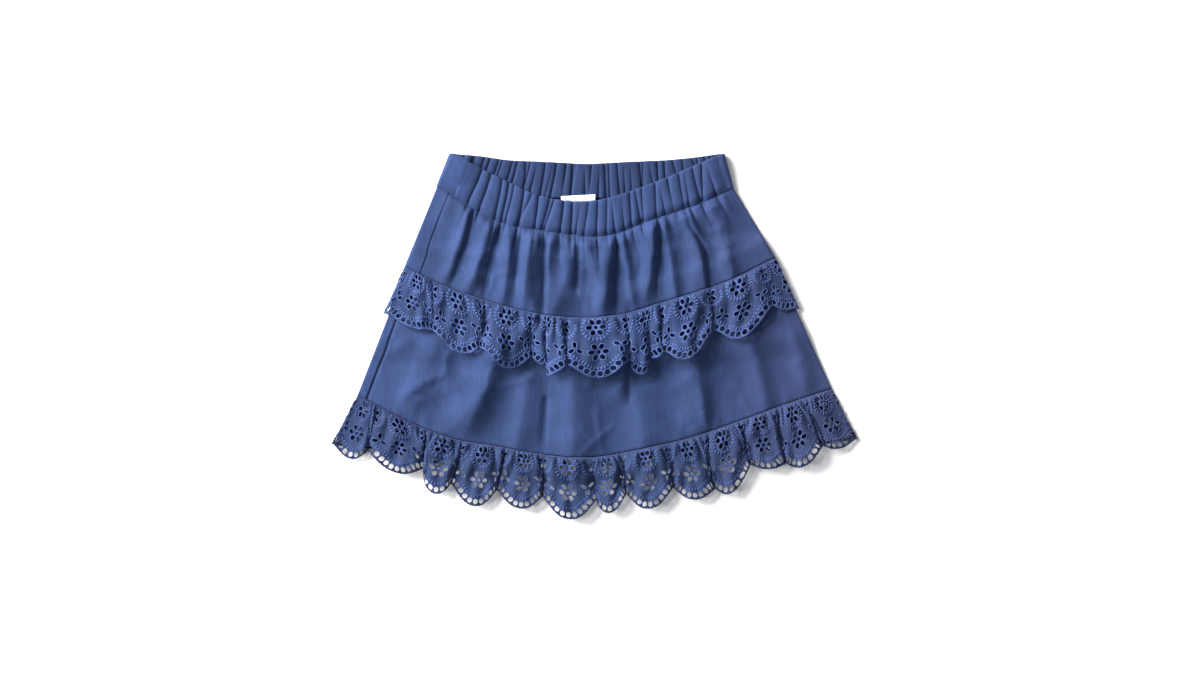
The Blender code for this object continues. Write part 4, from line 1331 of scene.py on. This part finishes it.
# %% [markdown]
# A label of woven polyester tape is folded double and caught in the back waist seam. Its face is
# blank. Only its top edge shows over the front's casing.

# %% Label
LABEL_ACROSS = (-26.5, 0.5)
LABEL_DOWN = 20
LABEL_THICKNESS = 0.7
LABEL_TOP = 2.3  # how far its upper edge stands up over the casing's ribs
LABEL_UP = 1.8  # how far it stands above the waist seam
LABEL_TILT = 1.5
LABEL_ROOM = 0.4
LABEL_GRID = Grid(28, 21)


def label_surface(share, reach):
    across = mix(*LABEL_ACROSS, share)
    top = seam_down(WAIST_SEAM_BACK, across) - LABEL_UP + LABEL_TILT * (1.0 - share)
    down = top + LABEL_DOWN * reach
    over_ribs = LABEL_TOP * (1 - ramp(reach, 0.05, 0.4))
    height = FLOOR_LAYER + LAYER + LABEL_ROOM + fold_lift(BACK_FOLDS, across, down) + over_ribs
    return np.stack([across, CENTRE_DOWN - down, height], axis=-1)


label_shares = np.linspace(0, 1, LABEL_GRID.columns)
label_points = label_surface(*np.meshgrid(label_shares, np.linspace(0, 1, LABEL_GRID.rows)))
label = rolled_piece("label_tape", label_points, LABEL_THICKNESS, tape, inner_rows=6)
print("label:", LABEL_ACROSS[1] - LABEL_ACROSS[0], "by", LABEL_DOWN, "mm")

# %% [markdown]
# Rows of lock stitches hold the casing and the tiers. They are 2.4 mm long in thread of the cloth's
# own colour, so they show only as a fine broken line.

# %% Sewing
STITCH_PITCH = 3.0
LOCK_STITCH = Satin(2.4, 0.55, 0.3)
TIER_DEPTH = 60.0  # that turns a stitch's width into a share of a tier's depth
SewingRow = namedtuple("SewingRow", "name tier reach first last length rise")
SEWING_ROWS = (
    SewingRow("casing_stitches", BAND, 0.93, 0.06, 0.99, 250, BAND_THICKNESS / 2),
    SewingRow("upper_tier_stitches", UPPER, 0.965, 0.03, 0.99, 310, CLOTH / 2),
    SewingRow("lower_tier_stitches", LOWER, 0.975, 0.03, 0.99, 400, CLOTH / 2),
)


def sew(row):
    """A row of stitches along a tier of the front, at a reach down it."""
    count = int(row.length / STITCH_PITCH)
    made, joined = stitch(0, 0, math.pi / 2, *LOCK_STITCH)
    along, wide, up = np.array(made).T
    points, faces = [], []
    for i in range(count):
        share = mix(row.first, row.last, (i + 0.5) / count)
        faces.extend(tuple(corner + i * len(made) for corner in face) for face in joined)
        turns = share + along / row.length * (row.last - row.first)
        points.append(np.stack([turns, row.reach + wide / TIER_DEPTH, up + row.rise], axis=1))
    points = np.concatenate(points)
    where = surface(row.tier, FRONT, points[:, 0], points[:, 1])
    where[:, 2] += points[:, 2]
    print(row.name, "has", count, "stitches")
    return make_piece(row.name, where, faces, sewing_thread)


sewing = [sew(row) for row in SEWING_ROWS]

# %% [markdown]
# Every piece rides on the one body, and each of the main pieces stands for the solid it dresses,
# which is hidden.

# %% Ride and replace
DRESSED = (
    (band_front, "waistband_front", "cotton_poplin"),
    (band_back, "waistband_back", "cotton_poplin"),
    (upper_front, "upper_panel_front", "cotton_poplin"),
    (upper_back, "upper_panel_back", "cotton_poplin"),
    (lower_front, "lower_panel_front", "cotton_poplin"),
    (lower_back, "lower_panel_back", "cotton_poplin"),
    (middle_front, "ruffle_mid_front", "eyelet_lace"),
    (middle_back, "ruffle_mid_back", "eyelet_lace"),
    (hem_front, "ruffle_hem_front", "eyelet_lace"),
    (hem_back, "ruffle_hem_back", "eyelet_lace"),
    (label, "label", "label_tape"),
)
for piece, node_name, slot_name in DRESSED:
    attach(piece, "root")
    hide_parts(node_name)
for piece in embroidery + sewing:
    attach(piece, "root")

print("dressed", len(DRESSED), "solids")

# %% [markdown]
# The photo is a flat lay on white, lit softly from the upper left, with a faint shadow to the right
# and below. A large key light stands up and to the left, a weak one opposite, and the pale floor and
# sky fill the rest. The camera looks straight down from far away, so the skirt keeps its proportions.

# %% Floor, light and camera
VIEW_WIDTH = 0.948
VIEW_CENTRE = (0.0043, -0.0007)
LENS = 85.0
SENSOR = 36.0
FLOOR_HALF = 3
PAPER_WHITE = "#F7F7F8"
PAPER_ROUGHNESS = 0.9
SKY_COLOUR = (0.95, 0.97, 1.0, 1.0)
SKY_STRENGTH = 0.35

floor_mesh = bpy.data.meshes.new("floor")
corners = [(FLOOR_HALF * x, FLOOR_HALF * y, 0) for x, y in ((-1, -1), (1, -1), (1, 1), (-1, 1))]
floor_mesh.from_pydata(corners, [], [(0, 1, 2, 3)])
floor = put("floor", floor_mesh)
paper = bpy.data.materials.new("white_paper")
paper.use_nodes = True
paper_shader = paper.node_tree.nodes["Principled BSDF"]
paper_shader.inputs["Base Color"].default_value = linear(PAPER_WHITE)
paper_shader.inputs["Roughness"].default_value = PAPER_ROUGHNESS
floor_mesh.materials.append(paper)


def area_light(name, place, size, power, colour):
    data = bpy.data.lights.new(name, "AREA")
    data.size = size
    data.energy = power
    data.color = colour
    light = put(name, data)
    light.location = place
    light.rotation_euler = (-Vector(place)).to_track_quat("-Z", "Y").to_euler()


area_light("key", place=(-1.9, 1.1, 1.25), size=1.6, power=240.0, colour=(1.0, 0.99, 0.97))
area_light("fill", place=(1.4, -0.6, 2.2), size=1.6, power=5.0, colour=(0.93, 0.95, 1.0))
world = bpy.data.worlds.new("studio")
world.use_nodes = True
world.node_tree.nodes["Background"].inputs["Color"].default_value = SKY_COLOUR
world.node_tree.nodes["Background"].inputs["Strength"].default_value = SKY_STRENGTH
bpy.context.scene.world = world
bpy.context.scene.view_settings.view_transform = "Standard"

camera_data = bpy.data.cameras.new("camera")
camera_data.lens = LENS
camera_data.sensor_width = SENSOR
camera = put("camera", camera_data)
camera.location = (*VIEW_CENTRE, VIEW_WIDTH * LENS / SENSOR)
bpy.context.scene.camera = camera
print("camera height, m:", round(camera.location.z, 2))
